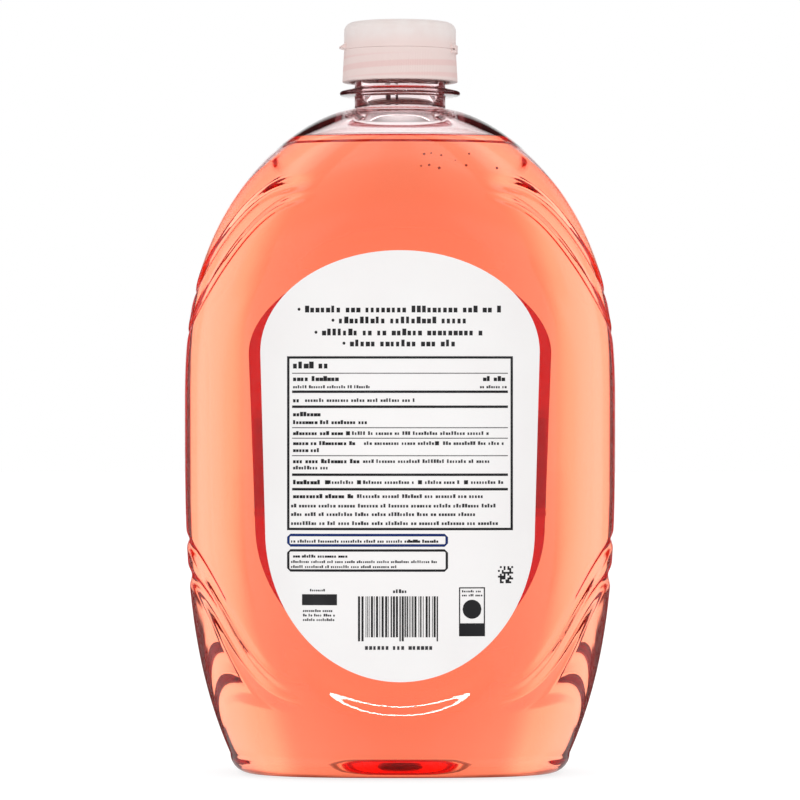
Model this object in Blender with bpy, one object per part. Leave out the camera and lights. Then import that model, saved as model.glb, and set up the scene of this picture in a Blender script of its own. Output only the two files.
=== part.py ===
"""Refill pack of liquid hand soap: a clear blown bottle, its fill, two labels and a flip-top cap.

The bottle stands on the ground plane at the origin, wide along X and flat along Y, with +Z up.
The back label, which carries the small print, faces -Y. The cap's lid is hinged at +X.
All sizes are in metres and all angles in degrees.
"""

import bisect
import math
from collections import namedtuple

import bmesh
import bpy
from mathutils import Matrix, Vector

# Bottle body
BODY_WIDTH = 0.144
BODY_DEPTH = 0.0765
BODY_HEIGHT = 0.2213  # from the ground to the root of the neck
WALL = 0.001
WIDEST_SHARE = 0.56  # height of the widest section, as a share of the body height
FLAT_SHARE = 0.74  # the front and back are upright up to this share of the body height
SHOULDER_POWER = 2.45  # how squarely the outline turns in at the shoulder, seen from the front
SIDE_SHOULDER_POWER = 2.4  # the same, seen from the side
NECK_POWER = 1.5  # how steeply the outline comes down on the neck
TAPER = 0.33  # share of the width lost from the widest section down to the ground
TAPER_POWER = 3.4
SIDE_TAPER = 0.34
SIDE_TAPER_POWER = 13
SQUARENESS = 2.7  # exponent of the body's superellipse section; 2 is an ellipse
HEEL_RADIUS = 0.0065
PUSH_UP = 0.0067  # height of the hollow under the base
PUSH_UP_FLOOR = 0.30  # the hollow is flat inside this share of the base, and ends at the next one
PUSH_UP_RIM = 0.72

# Neck finish
NECK_RADIUS = 0.0152
NECK_BORE_RADIUS = 0.0130
NECK_FILLET = 0.0012
NECK_LENGTH = 0.0182  # from the root of the neck to its rim
LEDGE_RADIUS = 0.0202
LEDGE_THICKNESS = 0.0016
LEDGE_SLOPE = 0.0010  # the ledge is this much thicker at its root than at its edge
LEDGE_ABOVE_ROOT = 0.0046
THREAD_HEIGHT = 0.0011
THREAD_WIDTH = 0.0022
THREAD_PITCH = 0.00423
THREAD_TURNS = 1.5
THREAD_ABOVE_LEDGE = 0.0026
RIM_ROUND = 0.0006

# Label panels, one in the front and one in the back
PANEL_RECESS = 0.0016  # in the middle of a panel, running out towards its sides
PANEL_MARGIN = 0.0060
PANEL_EDGE = 0.0080
LABEL_WIDTH = 0.0914
LABEL_BOTTOM = 0.0321
LABEL_TOP = 0.1731
LABEL_TOP_ARCH = 0.0332  # height of the arch that ends the label
LABEL_BOTTOM_ARCH = 0.0496
LABEL_FOOT_SHARE = 0.965  # width at the foot of the straight sides, as a share of the width
LABEL_THICKNESS = 0.0002

# Swept grooves cross each side and run out on the shoulder and the foot. A groove turns from its
# level at the side to its level at the end where it has gone half round the corner. The levels
# are drops below the neck root on the shoulder, and heights above the ground on the foot. The
# reach is how far a groove's flanks go from its middle line.
Groove = namedtuple("Groove", "side end turn ease stop reach depth")
SHOULDER_GROOVES = (
    Groove(side=0.0778, end=0.0296, turn=0.0260, ease=0.0077, stop=0.062, reach=0.0024, depth=0.0009),
    Groove(side=0.0653, end=0.0256, turn=0.0200, ease=0.0066, stop=0.060, reach=0.0036, depth=0.0011),
)
FOOT_GROOVES = (
    Groove(side=0.0665, end=0.0240, turn=0.0318, ease=0.0059, stop=0.062, reach=0.0040, depth=0.0010),
    Groove(side=0.0792, end=0.0275, turn=0.0330, ease=0.0073, stop=0.055, reach=0.0032, depth=0.0008),
)
GROOVE_FADE = 0.016  # length over which a groove runs out

# Fill
HEADSPACE = 0.0109  # from the surface of the fill up to the neck root

# Cap and lid
CAP_WALL = 0.0020
CAP_FLARE = 0.0006
CAP_SKIRT = 0.0093  # length of the skirt below the deck
DECK_THICKNESS = 0.0014
THREAD_CLEARANCE = 0.0004
SEAL_WALL = 0.0010
SEAL_LENGTH = 0.0030
ORIFICE_RADIUS = 0.0040
SPOUT_WALL = 0.0013
SPOUT_HEIGHT = 0.0040
LID_HEIGHT = 0.0090
LID_WALL = 0.0012
LID_ROUND = 0.0030
PLUG_WALL = 0.0010
PLUG_DEPTH = 0.0015  # how far the lid's plug reaches into the orifice
SNAP_BEAD_HEIGHT = 0.0010
SNAP_BEAD_WIDTH = 0.0012
HINGE_HALF_ANGLE = 25.0
HINGE_DEPTH = 0.0005  # how far the hinge stands out of the skirt
HINGE_HEIGHT = 0.0022
TAB_REACH = 0.0017
TAB_HEIGHT = 0.0016
TAB_HALF_ANGLE = 16.0

# Fits
GAP = 0.0003  # clearance between pieces that touch on the real pack

# Mesh fineness
COLUMNS = 48
HEEL_ROWS = 3
FOOT_ROWS = 6  # between the heel and the lowest groove
SIDE_ROWS = 14  # between the foot's grooves and the shoulder's
SHOULDER_ROWS = 10  # between the highest groove and the neck
GROOVE_ROWS = 2  # on each flank of a groove, and between two grooves that run side by side
INNER_STEP = 2  # the inner wall takes every second row of the outer one
THREAD_ROWS = 12
CAP_SEGMENTS = 48
LABEL_STRIPS = 18
ARC_STEPS = 3
FINE_STEPS = 400  # points along a curve whose length is measured
MOST_OF_HALF = 0.42  # a groove's rows take at most this share of the way to the next groove

# Heights that follow from the sizes above
FILL_HEIGHT = BODY_HEIGHT - HEADSPACE
LEDGE_BOTTOM = BODY_HEIGHT + LEDGE_ABOVE_ROOT
LEDGE_TOP = LEDGE_BOTTOM + LEDGE_THICKNESS + LEDGE_SLOPE
RIM_HEIGHT = BODY_HEIGHT + NECK_LENGTH
DECK_BOTTOM = RIM_HEIGHT + GAP
DECK_TOP = DECK_BOTTOM + DECK_THICKNESS
SKIRT_BOTTOM = DECK_BOTTOM - CAP_SKIRT
LID_BOTTOM = DECK_TOP + GAP
LID_TOP = LID_BOTTOM + LID_HEIGHT
THREAD_CREST_RADIUS = NECK_RADIUS + THREAD_HEIGHT
SKIRT_BORE_RADIUS = THREAD_CREST_RADIUS + THREAD_CLEARANCE
CAP_TOP_RADIUS = SKIRT_BORE_RADIUS + CAP_WALL
HINGE_AXIS_X = CAP_TOP_RADIUS + HINGE_DEPTH
HINGE_AXIS_Z = DECK_TOP + GAP / 2

# The grooves as heights above the ground, from the lowest to the highest
GROOVES = FOOT_GROOVES + tuple(
    groove._replace(side=BODY_HEIGHT - groove.side, end=BODY_HEIGHT - groove.end)
    for groove in SHOULDER_GROOVES
)


def smooth(value):
    """0 below 0, 1 above 1, with level ends in between."""
    t = min(max(value, 0.0), 1.0)
    return t * t * (3 - 2 * t)


def arc(centre_x, centre_z, radius, start, end, steps=ARC_STEPS):
    """Points of a profile along an arc, both ends included."""
    turns = [math.radians(start + (end - start) * k / steps) for k in range(steps + 1)]
    return [(centre_x + radius * math.cos(t), centre_z + radius * math.sin(t)) for t in turns]


# Bottle surface


def fullness(height, turn_share, shoulder_power, taper, taper_power):
    """How full the outline is at a height: 1 at its widest and 0 at the neck."""
    share = height / BODY_HEIGHT
    above = min(max(share - turn_share, 0.0) / (1 - turn_share), 1.0)
    below = max(WIDEST_SHARE - share, 0.0) / WIDEST_SHARE
    return (1 - above**shoulder_power) ** (1 / NECK_POWER) - taper * below**taper_power


def half_width(height):
    """Half the body's width at a height, above the heel."""
    root = NECK_RADIUS + NECK_FILLET
    full = fullness(height, WIDEST_SHARE, SHOULDER_POWER, TAPER, TAPER_POWER)
    return root + (BODY_WIDTH / 2 - root) * full


def half_depth(height):
    """Half the body's depth at a height, above the heel."""
    root = NECK_RADIUS + NECK_FILLET
    full = fullness(height, FLAT_SHARE, SIDE_SHOULDER_POWER, SIDE_TAPER, SIDE_TAPER_POWER)
    return root + (BODY_DEPTH / 2 - root) * full


def squareness(height):
    """Exponent of the section: a superellipse on the body that turns into the neck's circle."""
    to_neck = smooth((height / BODY_HEIGHT - FLAT_SHARE) / (1 - FLAT_SHARE))
    return SQUARENESS + (2 - SQUARENESS) * to_neck


def section_point(width, depth, exponent, angle, height):
    """A point on a superellipse at a height."""
    power = 2 / exponent
    c, s = math.cos(angle), math.sin(angle)
    x = math.copysign(abs(c) ** power, c) * width
    y = math.copysign(abs(s) ** power, s) * depth
    return Vector((x, y, height))


def running_lengths(points):
    """The length along a line of points from its start to each of them."""
    lengths = [0.0]
    for before, after in zip(points, points[1:]):
        lengths.append(lengths[-1] + (after - before).length)
    return lengths


def read_off(value, known, wanted):
    """The wanted quantity at a value of the known one, from two rising lists."""
    k = min(max(bisect.bisect_right(known, value), 1), len(known) - 1)
    share = (value - known[k - 1]) / (known[k] - known[k - 1])
    return wanted[k - 1] + (wanted[k] - wanted[k - 1]) * share


def widest_quarter():
    """Section angles and distances round from the side, along a quarter of the widest section."""
    angles = [math.pi / 2 * k / FINE_STEPS for k in range(FINE_STEPS + 1)]
    width, depth = BODY_WIDTH / 2, BODY_DEPTH / 2
    points = [section_point(width, depth, SQUARENESS, angle, 0.0) for angle in angles]
    return angles, running_lengths(points)


def body_outline():
    """Heights and distances along the body's outline from the heel to the neck."""
    rise = BODY_HEIGHT - HEEL_RADIUS
    heights = [HEEL_RADIUS + rise * k / FINE_STEPS for k in range(FINE_STEPS + 1)]
    points = [Vector((half_width(height), height)) for height in heights]
    return heights, running_lengths(points)


def column_angle(column, height):
    """A column's section angle: columns are evenly spaced on the body and round the neck."""
    quarter = COLUMNS // 4
    turn, step = divmod(column, quarter)
    if turn % 2:
        step = quarter - step
    even = read_off(QUARTER_LENGTHS[-1] * step / quarter, QUARTER_LENGTHS, QUARTER_ANGLES)
    to_neck = smooth((height / BODY_HEIGHT - FLAT_SHARE) / (1 - FLAT_SHARE))
    angle = even * (1 - to_neck) + math.pi / 2 * step / quarter * to_neck
    return (turn + 1) * math.pi / 2 - angle if turn % 2 else turn * math.pi / 2 + angle


def distance_round(column):
    """How far round the body a column lies from the nearer side."""
    half = COLUMNS // 2
    return QUARTER_LENGTHS[-1] * min(column % half, half - column % half) / (COLUMNS // 4)


def panel_depth(x):
    """Distance of a label panel from the middle plane. Its recess runs out towards its sides."""
    across = min(abs(x) / (BODY_WIDTH / 2), 1.0)
    body = BODY_DEPTH / 2 * (1 - across**SQUARENESS) ** (1 / SQUARENESS)
    side = LABEL_WIDTH / 2 + PANEL_MARGIN
    return body - PANEL_RECESS * (1 - min(abs(x) / side, 1.0) ** 2)


def label_reach(x, z):
    """How far out a point lies on the label: 0 in the middle, 1 on its outline."""
    foot = LABEL_BOTTOM + LABEL_BOTTOM_ARCH
    head = LABEL_TOP - LABEL_TOP_ARCH
    along = min(max((z - foot) / (head - foot), 0.0), 1.0)
    half = LABEL_WIDTH / 2 * (LABEL_FOOT_SHARE + (1 - LABEL_FOOT_SHARE) * along)
    above, below = max(z - head, 0.0), max(foot - z, 0.0)
    return math.hypot(x / half, above / LABEL_TOP_ARCH + below / LABEL_BOTTOM_ARCH)


def panel_share(x, z):
    """1 inside a label panel, 0 on the body round it, and a soft step between."""
    outside = (label_reach(x, z) - 1) * LABEL_WIDTH / 2
    return 1 - smooth((outside - PANEL_MARGIN) / PANEL_EDGE)


def groove_middle(groove, around):
    """The height of a groove's middle line and its slope, at a distance round from the side."""
    turned_up = 1 / (1 + math.exp(-(around - groove.turn) / groove.ease))
    slope = (groove.end - groove.side) * turned_up * (1 - turned_up) / groove.ease
    return groove.side + (groove.end - groove.side) * turned_up, slope


def groove_depth(around, height):
    """How deep the grooves are at a distance round from the side and a height."""
    deepest = 0.0
    for groove in GROOVES:
        middle, slope = groove_middle(groove, around)
        off = abs(height - middle) / math.hypot(1, slope) / groove.reach
        fade = 1 - smooth((around - groove.stop + GROOVE_FADE) / GROOVE_FADE)
        deepest = max(deepest, groove.depth * fade * smooth(1 - off))
    return deepest


def grid_normals(grid):
    """The outward normal at each point of a grid of rings that runs from the base up."""
    rows, columns = len(grid), len(grid[0])
    normals = []
    for i in range(rows):
        below, above = grid[max(i - 1, 0)], grid[min(i + 1, rows - 1)]
        ring = []
        for k in range(columns):
            across = grid[i][(k + 1) % columns] - grid[i][k - 1]
            ring.append(across.cross(above[k] - below[k]).normalized())
        normals.append(ring)
    return normals


def shifted(surface, distance):
    """The rings of a surface, moved outwards along its normals."""
    grid, normals = surface
    return [[p + n * distance for p, n in zip(*rings)] for rings in zip(grid, normals)]


def base_rows():
    """Rings of the base, from the middle of its hollow to the ground it stands on."""
    floor_width = half_width(HEEL_RADIUS) - HEEL_RADIUS
    floor_depth = half_depth(HEEL_RADIUS) - HEEL_RADIUS
    rows = []
    for share in (0.12, 0.28, 0.40, 0.50, 0.60, 0.70, 0.80, 0.92, 1.0):
        slope = (share - PUSH_UP_FLOOR) / (PUSH_UP_RIM - PUSH_UP_FLOOR)
        height = PUSH_UP * (1 - smooth(slope))
        rows.append((floor_width * share, floor_depth * share, height))
    return rows


def heel_rows():
    """Rings of the rounded heel between the base and the body."""
    rows = []
    for step in range(1, HEEL_ROWS + 1):
        angle = math.pi / 2 * step / (HEEL_ROWS + 1)
        inset = HEEL_RADIUS * (1 - math.sin(angle))
        height = HEEL_RADIUS * (1 - math.cos(angle))
        rows.append((half_width(HEEL_RADIUS) - inset, half_depth(HEEL_RADIUS) - inset, height))
    return rows


def wall_heights(around):
    """Heights of the wall's rows at one column. The rows run along the grooves."""
    middles = [groove_middle(groove, around)[0] for groove in GROOVES]
    limits = [HEEL_RADIUS] + middles + [BODY_HEIGHT]
    marks = [HEEL_RADIUS]
    for k, groove in enumerate(GROOVES):
        middle, slope = groove_middle(groove, around)
        reach = groove.reach * math.hypot(1, slope)
        below = min(reach, MOST_OF_HALF * (middle - limits[k]))
        above = min(reach, MOST_OF_HALF * (limits[k + 2] - middle))
        marks += [middle - below, middle, middle + above]
    marks.append(BODY_HEIGHT)
    two_grooves = [GROOVE_ROWS] * 5  # four flanks, and the space between the grooves
    steps = [FOOT_ROWS] + two_grooves + [SIDE_ROWS] + two_grooves + [SHOULDER_ROWS]
    heights = []
    for low, high, count in zip(marks, marks[1:], steps):
        start = read_off(low, OUTLINE_HEIGHTS, OUTLINE_LENGTHS)
        length = read_off(high, OUTLINE_HEIGHTS, OUTLINE_LENGTHS) - start
        for step in range(count):
            along = start + length * step / count
            heights.append(read_off(along, OUTLINE_LENGTHS, OUTLINE_HEIGHTS))
    return heights + [BODY_HEIGHT]


def wall_point(column, height):
    """A point of the wall, set in where a label panel is, before its grooves are cut."""
    angle = column_angle(column, height)
    width, depth = half_width(height), half_depth(height)
    point = section_point(width, depth, squareness(height), angle, height)
    share = panel_share(point.x, height)
    panel = math.copysign(panel_depth(point.x), point.y)
    point.y += (panel - point.y) * share
    return point


def body_surface():
    """The bottle's outer surface below the neck and the directions in which its wall is thick."""
    grid = []
    for width, depth, height in base_rows() + heel_rows():
        angles = [column_angle(column, height) for column in range(COLUMNS)]
        grid.append([section_point(width, depth, SQUARENESS, a, height) for a in angles])
    below_wall = len(grid)
    columns = []
    for column in range(COLUMNS):
        heights = wall_heights(distance_round(column))
        columns.append([wall_point(column, height) for height in heights])
    grid += [list(ring) for ring in zip(*columns)]
    normals = grid_normals(grid)
    for row in range(below_wall, len(grid)):
        for column in range(COLUMNS):
            point = grid[row][column]
            depth = groove_depth(distance_round(column), point.z)
            grid[row][column] = point - normals[row][column] * depth
    return grid, normals


# Neck


def thread_rise(angle, z):
    """How far the thread stands out of the neck at an angle and a height."""
    rise = 0.0
    start = LEDGE_TOP + THREAD_ABOVE_LEDGE
    for turn in range(math.ceil(THREAD_TURNS)):
        travelled = angle / math.tau + turn
        if travelled > THREAD_TURNS:
            continue
        off = abs(z - start - THREAD_PITCH * travelled) / (THREAD_WIDTH / 2)
        run_out = smooth(min(travelled, THREAD_TURNS - travelled) / 0.08)
        rise = max(rise, THREAD_HEIGHT * run_out * smooth((1.4 - off) / 0.9))
    return rise


def neck_ring(radius, height, threaded=False):
    """A round ring of the neck, whose columns follow the body's."""
    ring = []
    for column in range(COLUMNS):
        angle = column_angle(column, BODY_HEIGHT)
        reach = radius + (thread_rise(angle, height) if threaded else 0.0)
        ring.append(Vector((reach * math.cos(angle), reach * math.sin(angle), height)))
    return ring


def neck_rings():
    """The neck from its root to the rim: fillet, ledge, threaded finish and rounded rim."""
    fillet = arc(NECK_RADIUS + NECK_FILLET, BODY_HEIGHT + NECK_FILLET, NECK_FILLET, 270, 180)
    edge = LEDGE_THICKNESS / 3
    profile = fillet[1:] + [
        (NECK_RADIUS, LEDGE_BOTTOM),
        (LEDGE_RADIUS - edge, LEDGE_BOTTOM),
        (LEDGE_RADIUS, LEDGE_BOTTOM + edge),
        (LEDGE_RADIUS, LEDGE_BOTTOM + 2 * edge),
        (LEDGE_RADIUS - edge, LEDGE_BOTTOM + 3 * edge),
        (NECK_RADIUS, LEDGE_TOP),
    ]
    rings = [neck_ring(r, z) for r, z in profile]
    low, high = LEDGE_TOP, RIM_HEIGHT - RIM_ROUND
    for row in range(1, THREAD_ROWS + 1):
        rings.append(neck_ring(NECK_RADIUS, low + (high - low) * row / THREAD_ROWS, True))
    rings.append(neck_ring(NECK_RADIUS - RIM_ROUND, RIM_HEIGHT))
    rings.append(neck_ring(NECK_BORE_RADIUS + RIM_ROUND, RIM_HEIGHT))
    rings.append(neck_ring(NECK_BORE_RADIUS, RIM_HEIGHT - RIM_ROUND))
    rings.append(neck_ring(NECK_BORE_RADIUS, LEDGE_BOTTOM))
    rings.append(neck_ring(NECK_BORE_RADIUS, BODY_HEIGHT + NECK_FILLET))
    return rings


# Mesh helpers


def material(name, colour, roughness, clear=0.0):
    """A plastic, film or liquid with a colour, a roughness and how much light it lets through."""
    made = bpy.data.materials.new(name)
    made.use_nodes = True
    shader = made.node_tree.nodes["Principled BSDF"]
    shader.inputs["Base Color"].default_value = (*colour, 1.0)
    shader.inputs["Roughness"].default_value = roughness
    shader.inputs["Metallic"].default_value = 0.0
    shader.inputs["Transmission Weight"].default_value = clear
    made.diffuse_color = (*colour, 1.0)
    return made


def object_from(bm, name, look):
    """A named object in the scene from a mesh under construction."""
    bmesh.ops.recalc_face_normals(bm, faces=bm.faces)
    mesh = bpy.data.meshes.new(name)
    bm.to_mesh(mesh)
    bm.free()
    mesh.shade_smooth()
    mesh.set_sharp_from_angle(angle=math.radians(35))
    mesh.materials.append(look)
    made = bpy.data.objects.new(name, mesh)
    bpy.context.scene.collection.objects.link(made)
    return made


def splits_at_first(first, second, third, fourth):
    """Which way a face between two rings is split in two, so that folds run along the grooves."""
    near_side = abs(first.x) + abs(fourth.x) > abs(second.x) + abs(third.x)
    rising = first.z + second.z < third.z + fourth.z
    upper = first.z + second.z + third.z + fourth.z > 4 * BODY_HEIGHT / 2
    return (near_side == rising) == upper


def lofted(rings, name, look):
    """A closed body through rings of as many points, with a flat face on the first and the last."""
    bm = bmesh.new()
    loops = [[bm.verts.new(p) for p in ring] for ring in rings]
    for lower, upper in zip(loops, loops[1:]):
        for k in range(len(lower)):
            a, b, c, d = lower[k - 1], lower[k], upper[k], upper[k - 1]
            if splits_at_first(a.co, b.co, c.co, d.co):
                bm.faces.new((a, b, c))
                bm.faces.new((a, c, d))
            else:
                bm.faces.new((a, b, d))
                bm.faces.new((b, c, d))
    bm.faces.new(loops[0])
    bm.faces.new(loops[-1])
    return object_from(bm, name, look)


def turned(profile, name, look):
    """A closed body turned round the Z axis from a closed profile of (radius, height) points."""
    bm = bmesh.new()
    verts = [bm.verts.new((r, 0.0, z)) for r, z in profile]
    edges = [bm.edges.new((a, b)) for a, b in zip(verts, verts[1:] + verts[:1])]
    bmesh.ops.spin(
        bm,
        geom=verts + edges,
        cent=(0, 0, 0),
        axis=(0, 0, 1),
        angle=math.tau,
        steps=CAP_SEGMENTS,
        use_merge=True,
    )
    bmesh.ops.remove_doubles(bm, verts=bm.verts, dist=1e-7)
    return object_from(bm, name, look)


def sector(profile, middle, half_angle, name, look, steps=6):
    """A closed body turned through part of a circle, for a tab or a hinge leaf."""
    bm = bmesh.new()
    loops = []
    for k in range(steps + 1):
        angle = math.radians(middle - half_angle + 2 * half_angle * k / steps)
        c, s = math.cos(angle), math.sin(angle)
        loops.append([bm.verts.new((r * c, r * s, z)) for r, z in profile])
    for first, second in zip(loops, loops[1:]):
        for k in range(len(first)):
            bm.faces.new((first[k - 1], first[k], second[k], second[k - 1]))
    bm.faces.new(loops[0])
    bm.faces.new(loops[-1])
    return object_from(bm, name, look)


def join(target, extra):
    """Joins a piece to the target with a Boolean union, and keeps it only as the tool."""
    extra.hide_render = True
    extra.display_type = "WIRE"
    union = target.modifiers.new(extra.name, "BOOLEAN")
    union.operation = "UNION"
    union.solver = "EXACT"
    union.object = extra


# Pieces


def make_bottle(surface, look):
    """The blown bottle: body and neck outside, then back down the bore and the inner wall."""
    outer = shifted(surface, 0.0)
    inner = shifted(surface, -WALL)[:-1:INNER_STEP]
    return lofted(outer + neck_rings() + inner[::-1], "bottle", look)


def make_soap(surface, look):
    """The fill: the space inside the wall up to the fill height, a gap clear of the wall."""
    inside = shifted(surface, -WALL - GAP)[:-1:INNER_STEP]
    rings = [ring for ring in inside if max(p.z for p in ring) < FILL_HEIGHT - GAP]
    top = []
    for k in range(COLUMNS):
        column = [ring[k] for ring in inside]
        crossing = next(i for i, p in enumerate(column) if p.z >= FILL_HEIGHT)
        low, high = column[crossing - 1], column[crossing]
        top.append(low.lerp(high, (FILL_HEIGHT - low.z) / (high.z - low.z)))
    return lofted(rings + [top], "soap_fill", look)


def make_label(side, name, look):
    """A film label on one panel, side being -1 for the back and 1 for the front."""
    foot = LABEL_BOTTOM + LABEL_BOTTOM_ARCH
    head = LABEL_TOP - LABEL_TOP_ARCH
    outline = []
    for k in range(LABEL_STRIPS + 1):
        across = math.cos(math.pi * (1 - k / LABEL_STRIPS))
        arch = math.sqrt(max(1 - across**2, 0.0))
        top = (LABEL_WIDTH / 2 * across, head + LABEL_TOP_ARCH * arch)
        bottom_x = LABEL_WIDTH / 2 * LABEL_FOOT_SHARE * across
        outline.append((top, (bottom_x, foot - LABEL_BOTTOM_ARCH * arch)))
    bm = bmesh.new()
    strips = []
    for outer in (0.0, LABEL_THICKNESS):
        lines = []
        for ends in outline:
            line = []
            for x, z in ends:
                y = side * (panel_depth(x) + GAP + outer)
                line.append(bm.verts.new((x, y, z)))
            lines.append(line)
        for first, second in zip(lines, lines[1:]):
            bm.faces.new((first[0], first[1], second[1], second[0]))
        strips.append(lines)
    inner, outer = strips
    for rim in (0, 1):
        for k in range(LABEL_STRIPS):
            bm.faces.new((inner[k][rim], inner[k + 1][rim], outer[k + 1][rim], outer[k][rim]))
    for end in (0, -1):
        bm.faces.new((inner[end][0], inner[end][1], outer[end][1], outer[end][0]))
    return object_from(bm, name, look)


def make_cap(look):
    """The screwed closure: skirt, deck, plug seal in the neck, pouring spout and hinge leaf."""
    seal_radius = NECK_BORE_RADIUS - GAP
    spout_radius = ORIFICE_RADIUS + SPOUT_WALL
    spout_top = DECK_TOP + SPOUT_HEIGHT
    bead_radius = CAP_TOP_RADIUS - LID_WALL - GAP
    round_over = SPOUT_WALL / 2
    profile = [
        (CAP_TOP_RADIUS + CAP_FLARE, SKIRT_BOTTOM),
        (CAP_TOP_RADIUS, DECK_TOP),
        (bead_radius, DECK_TOP),
        (bead_radius, DECK_TOP + SNAP_BEAD_HEIGHT),
        (bead_radius - SNAP_BEAD_WIDTH, DECK_TOP + SNAP_BEAD_HEIGHT),
        (bead_radius - SNAP_BEAD_WIDTH, DECK_TOP),
        (spout_radius, DECK_TOP),
    ]
    profile += arc(spout_radius - round_over, spout_top - round_over, round_over, 0, 180)
    profile += [
        (ORIFICE_RADIUS, DECK_BOTTOM),
        (seal_radius - SEAL_WALL, DECK_BOTTOM),
        (seal_radius - SEAL_WALL, DECK_BOTTOM - SEAL_LENGTH),
        (seal_radius - SEAL_WALL / 3, DECK_BOTTOM - SEAL_LENGTH),
        (seal_radius, DECK_BOTTOM - SEAL_LENGTH * 0.7),
        (seal_radius, DECK_BOTTOM),
        (SKIRT_BORE_RADIUS, DECK_BOTTOM),
        (SKIRT_BORE_RADIUS, SKIRT_BOTTOM),
    ]
    cap = turned(profile, "cap", look)
    leaf = [
        (CAP_TOP_RADIUS - HINGE_DEPTH, DECK_TOP - HINGE_HEIGHT),
        (CAP_TOP_RADIUS - HINGE_DEPTH, DECK_TOP - GAP),
        (HINGE_AXIS_X, DECK_TOP - GAP),
        (HINGE_AXIS_X, DECK_TOP - HINGE_HEIGHT / 2),
    ]
    join(cap, sector(leaf, 0, HINGE_HALF_ANGLE, "cap_hinge_leaf", look))


def make_lid(look):
    """The flip lid: a shallow dome with a plug for the spout, a thumb tab and a hinge leaf."""
    inner_radius = CAP_TOP_RADIUS - LID_WALL
    ceiling = LID_TOP - LID_WALL
    plug_radius = ORIFICE_RADIUS - GAP
    plug_bottom = DECK_TOP + SPOUT_HEIGHT - PLUG_DEPTH
    inner_round = LID_ROUND - LID_WALL
    profile = [(CAP_TOP_RADIUS, LID_BOTTOM)]
    profile += arc(CAP_TOP_RADIUS - LID_ROUND, LID_TOP - LID_ROUND, LID_ROUND, 0, 90)
    profile += [(0.0, LID_TOP), (0.0, ceiling), (plug_radius - PLUG_WALL, ceiling)]
    profile += [
        (plug_radius - PLUG_WALL, plug_bottom),
        (plug_radius - PLUG_WALL / 2, plug_bottom),
        (plug_radius, plug_bottom + PLUG_WALL / 2),
        (plug_radius, ceiling),
    ]
    profile += arc(inner_radius - inner_round, ceiling - inner_round, inner_round, 90, 0)
    profile += [(inner_radius, LID_BOTTOM)]
    lid = turned(profile, "flip_lid", look)
    overlap = LID_WALL / 2
    tab = [
        (CAP_TOP_RADIUS - overlap, LID_BOTTOM),
        (CAP_TOP_RADIUS + TAB_REACH, LID_BOTTOM + TAB_HEIGHT * 0.3),
        (CAP_TOP_RADIUS + TAB_REACH, LID_BOTTOM + TAB_HEIGHT * 0.55),
        (CAP_TOP_RADIUS - overlap, LID_BOTTOM + TAB_HEIGHT * 1.5),
    ]
    join(lid, sector(tab, 180, TAB_HALF_ANGLE, "lid_thumb_tab", look))
    leaf = [
        (CAP_TOP_RADIUS - HINGE_DEPTH, LID_BOTTOM),
        (HINGE_AXIS_X, LID_BOTTOM),
        (HINGE_AXIS_X, LID_BOTTOM + HINGE_HEIGHT / 2),
        (CAP_TOP_RADIUS - HINGE_DEPTH, LID_BOTTOM + HINGE_HEIGHT),
    ]
    join(lid, sector(leaf, 0, HINGE_HALF_ANGLE, "lid_hinge_leaf", look))
    hinge = Vector((HINGE_AXIS_X, 0.0, HINGE_AXIS_Z))
    lid.data.transform(Matrix.Translation(-hinge))
    lid.location = hinge


def build():
    """Clears the scene and makes every piece of the pack."""
    for old in list(bpy.data.objects):
        bpy.data.objects.remove(old, do_unlink=True)
    clear_plastic = material("clear_plastic", (0.96, 0.95, 0.95), 0.06, clear=1.0)
    soap = material("coral_soap", (1.0, 0.28, 0.13), 0.05, clear=0.7)
    white_film = material("white_film", (0.94, 0.92, 0.91), 0.35)
    red_film = material("red_film", (0.80, 0.07, 0.04), 0.35)
    frosted = material("frosted_plastic", (0.90, 0.82, 0.80), 0.45, clear=0.4)
    surface = body_surface()
    make_bottle(surface, clear_plastic)
    make_soap(surface, soap)
    make_label(-1, "back_label", white_film)
    make_label(1, "front_label", red_film)
    make_cap(frosted)
    make_lid(frosted)


QUARTER_ANGLES, QUARTER_LENGTHS = widest_quarter()
OUTLINE_HEIGHTS, OUTLINE_LENGTHS = body_outline()
build()
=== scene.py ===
"""Looks of the liquid soap refill bottle: finer meshes, materials, studio, camera.

The frame is in metres, with +Z up and the back label facing -Y, as the photograph shows it.
"""

import bisect
import math
import random
from collections import namedtuple

import bmesh
import bpy
import numpy as np
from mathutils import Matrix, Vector


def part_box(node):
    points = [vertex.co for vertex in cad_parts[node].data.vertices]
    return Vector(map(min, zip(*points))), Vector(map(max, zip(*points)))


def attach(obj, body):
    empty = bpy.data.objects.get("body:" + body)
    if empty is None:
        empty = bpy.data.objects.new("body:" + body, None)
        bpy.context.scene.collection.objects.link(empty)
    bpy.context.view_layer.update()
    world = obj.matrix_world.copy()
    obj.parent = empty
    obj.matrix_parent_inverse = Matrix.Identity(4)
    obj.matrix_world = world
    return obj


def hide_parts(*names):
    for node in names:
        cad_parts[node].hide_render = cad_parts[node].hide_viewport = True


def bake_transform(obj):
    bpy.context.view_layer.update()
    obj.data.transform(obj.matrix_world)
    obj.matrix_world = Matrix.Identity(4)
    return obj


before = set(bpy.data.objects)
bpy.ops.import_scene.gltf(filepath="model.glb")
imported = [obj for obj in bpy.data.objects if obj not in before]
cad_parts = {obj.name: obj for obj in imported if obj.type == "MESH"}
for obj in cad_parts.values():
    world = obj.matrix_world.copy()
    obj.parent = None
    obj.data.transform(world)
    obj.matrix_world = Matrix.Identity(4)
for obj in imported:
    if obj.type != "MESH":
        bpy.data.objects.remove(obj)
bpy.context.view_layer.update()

# Places read from the frame
BOTTLE_LOW, BOTTLE_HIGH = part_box("bottle")
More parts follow.
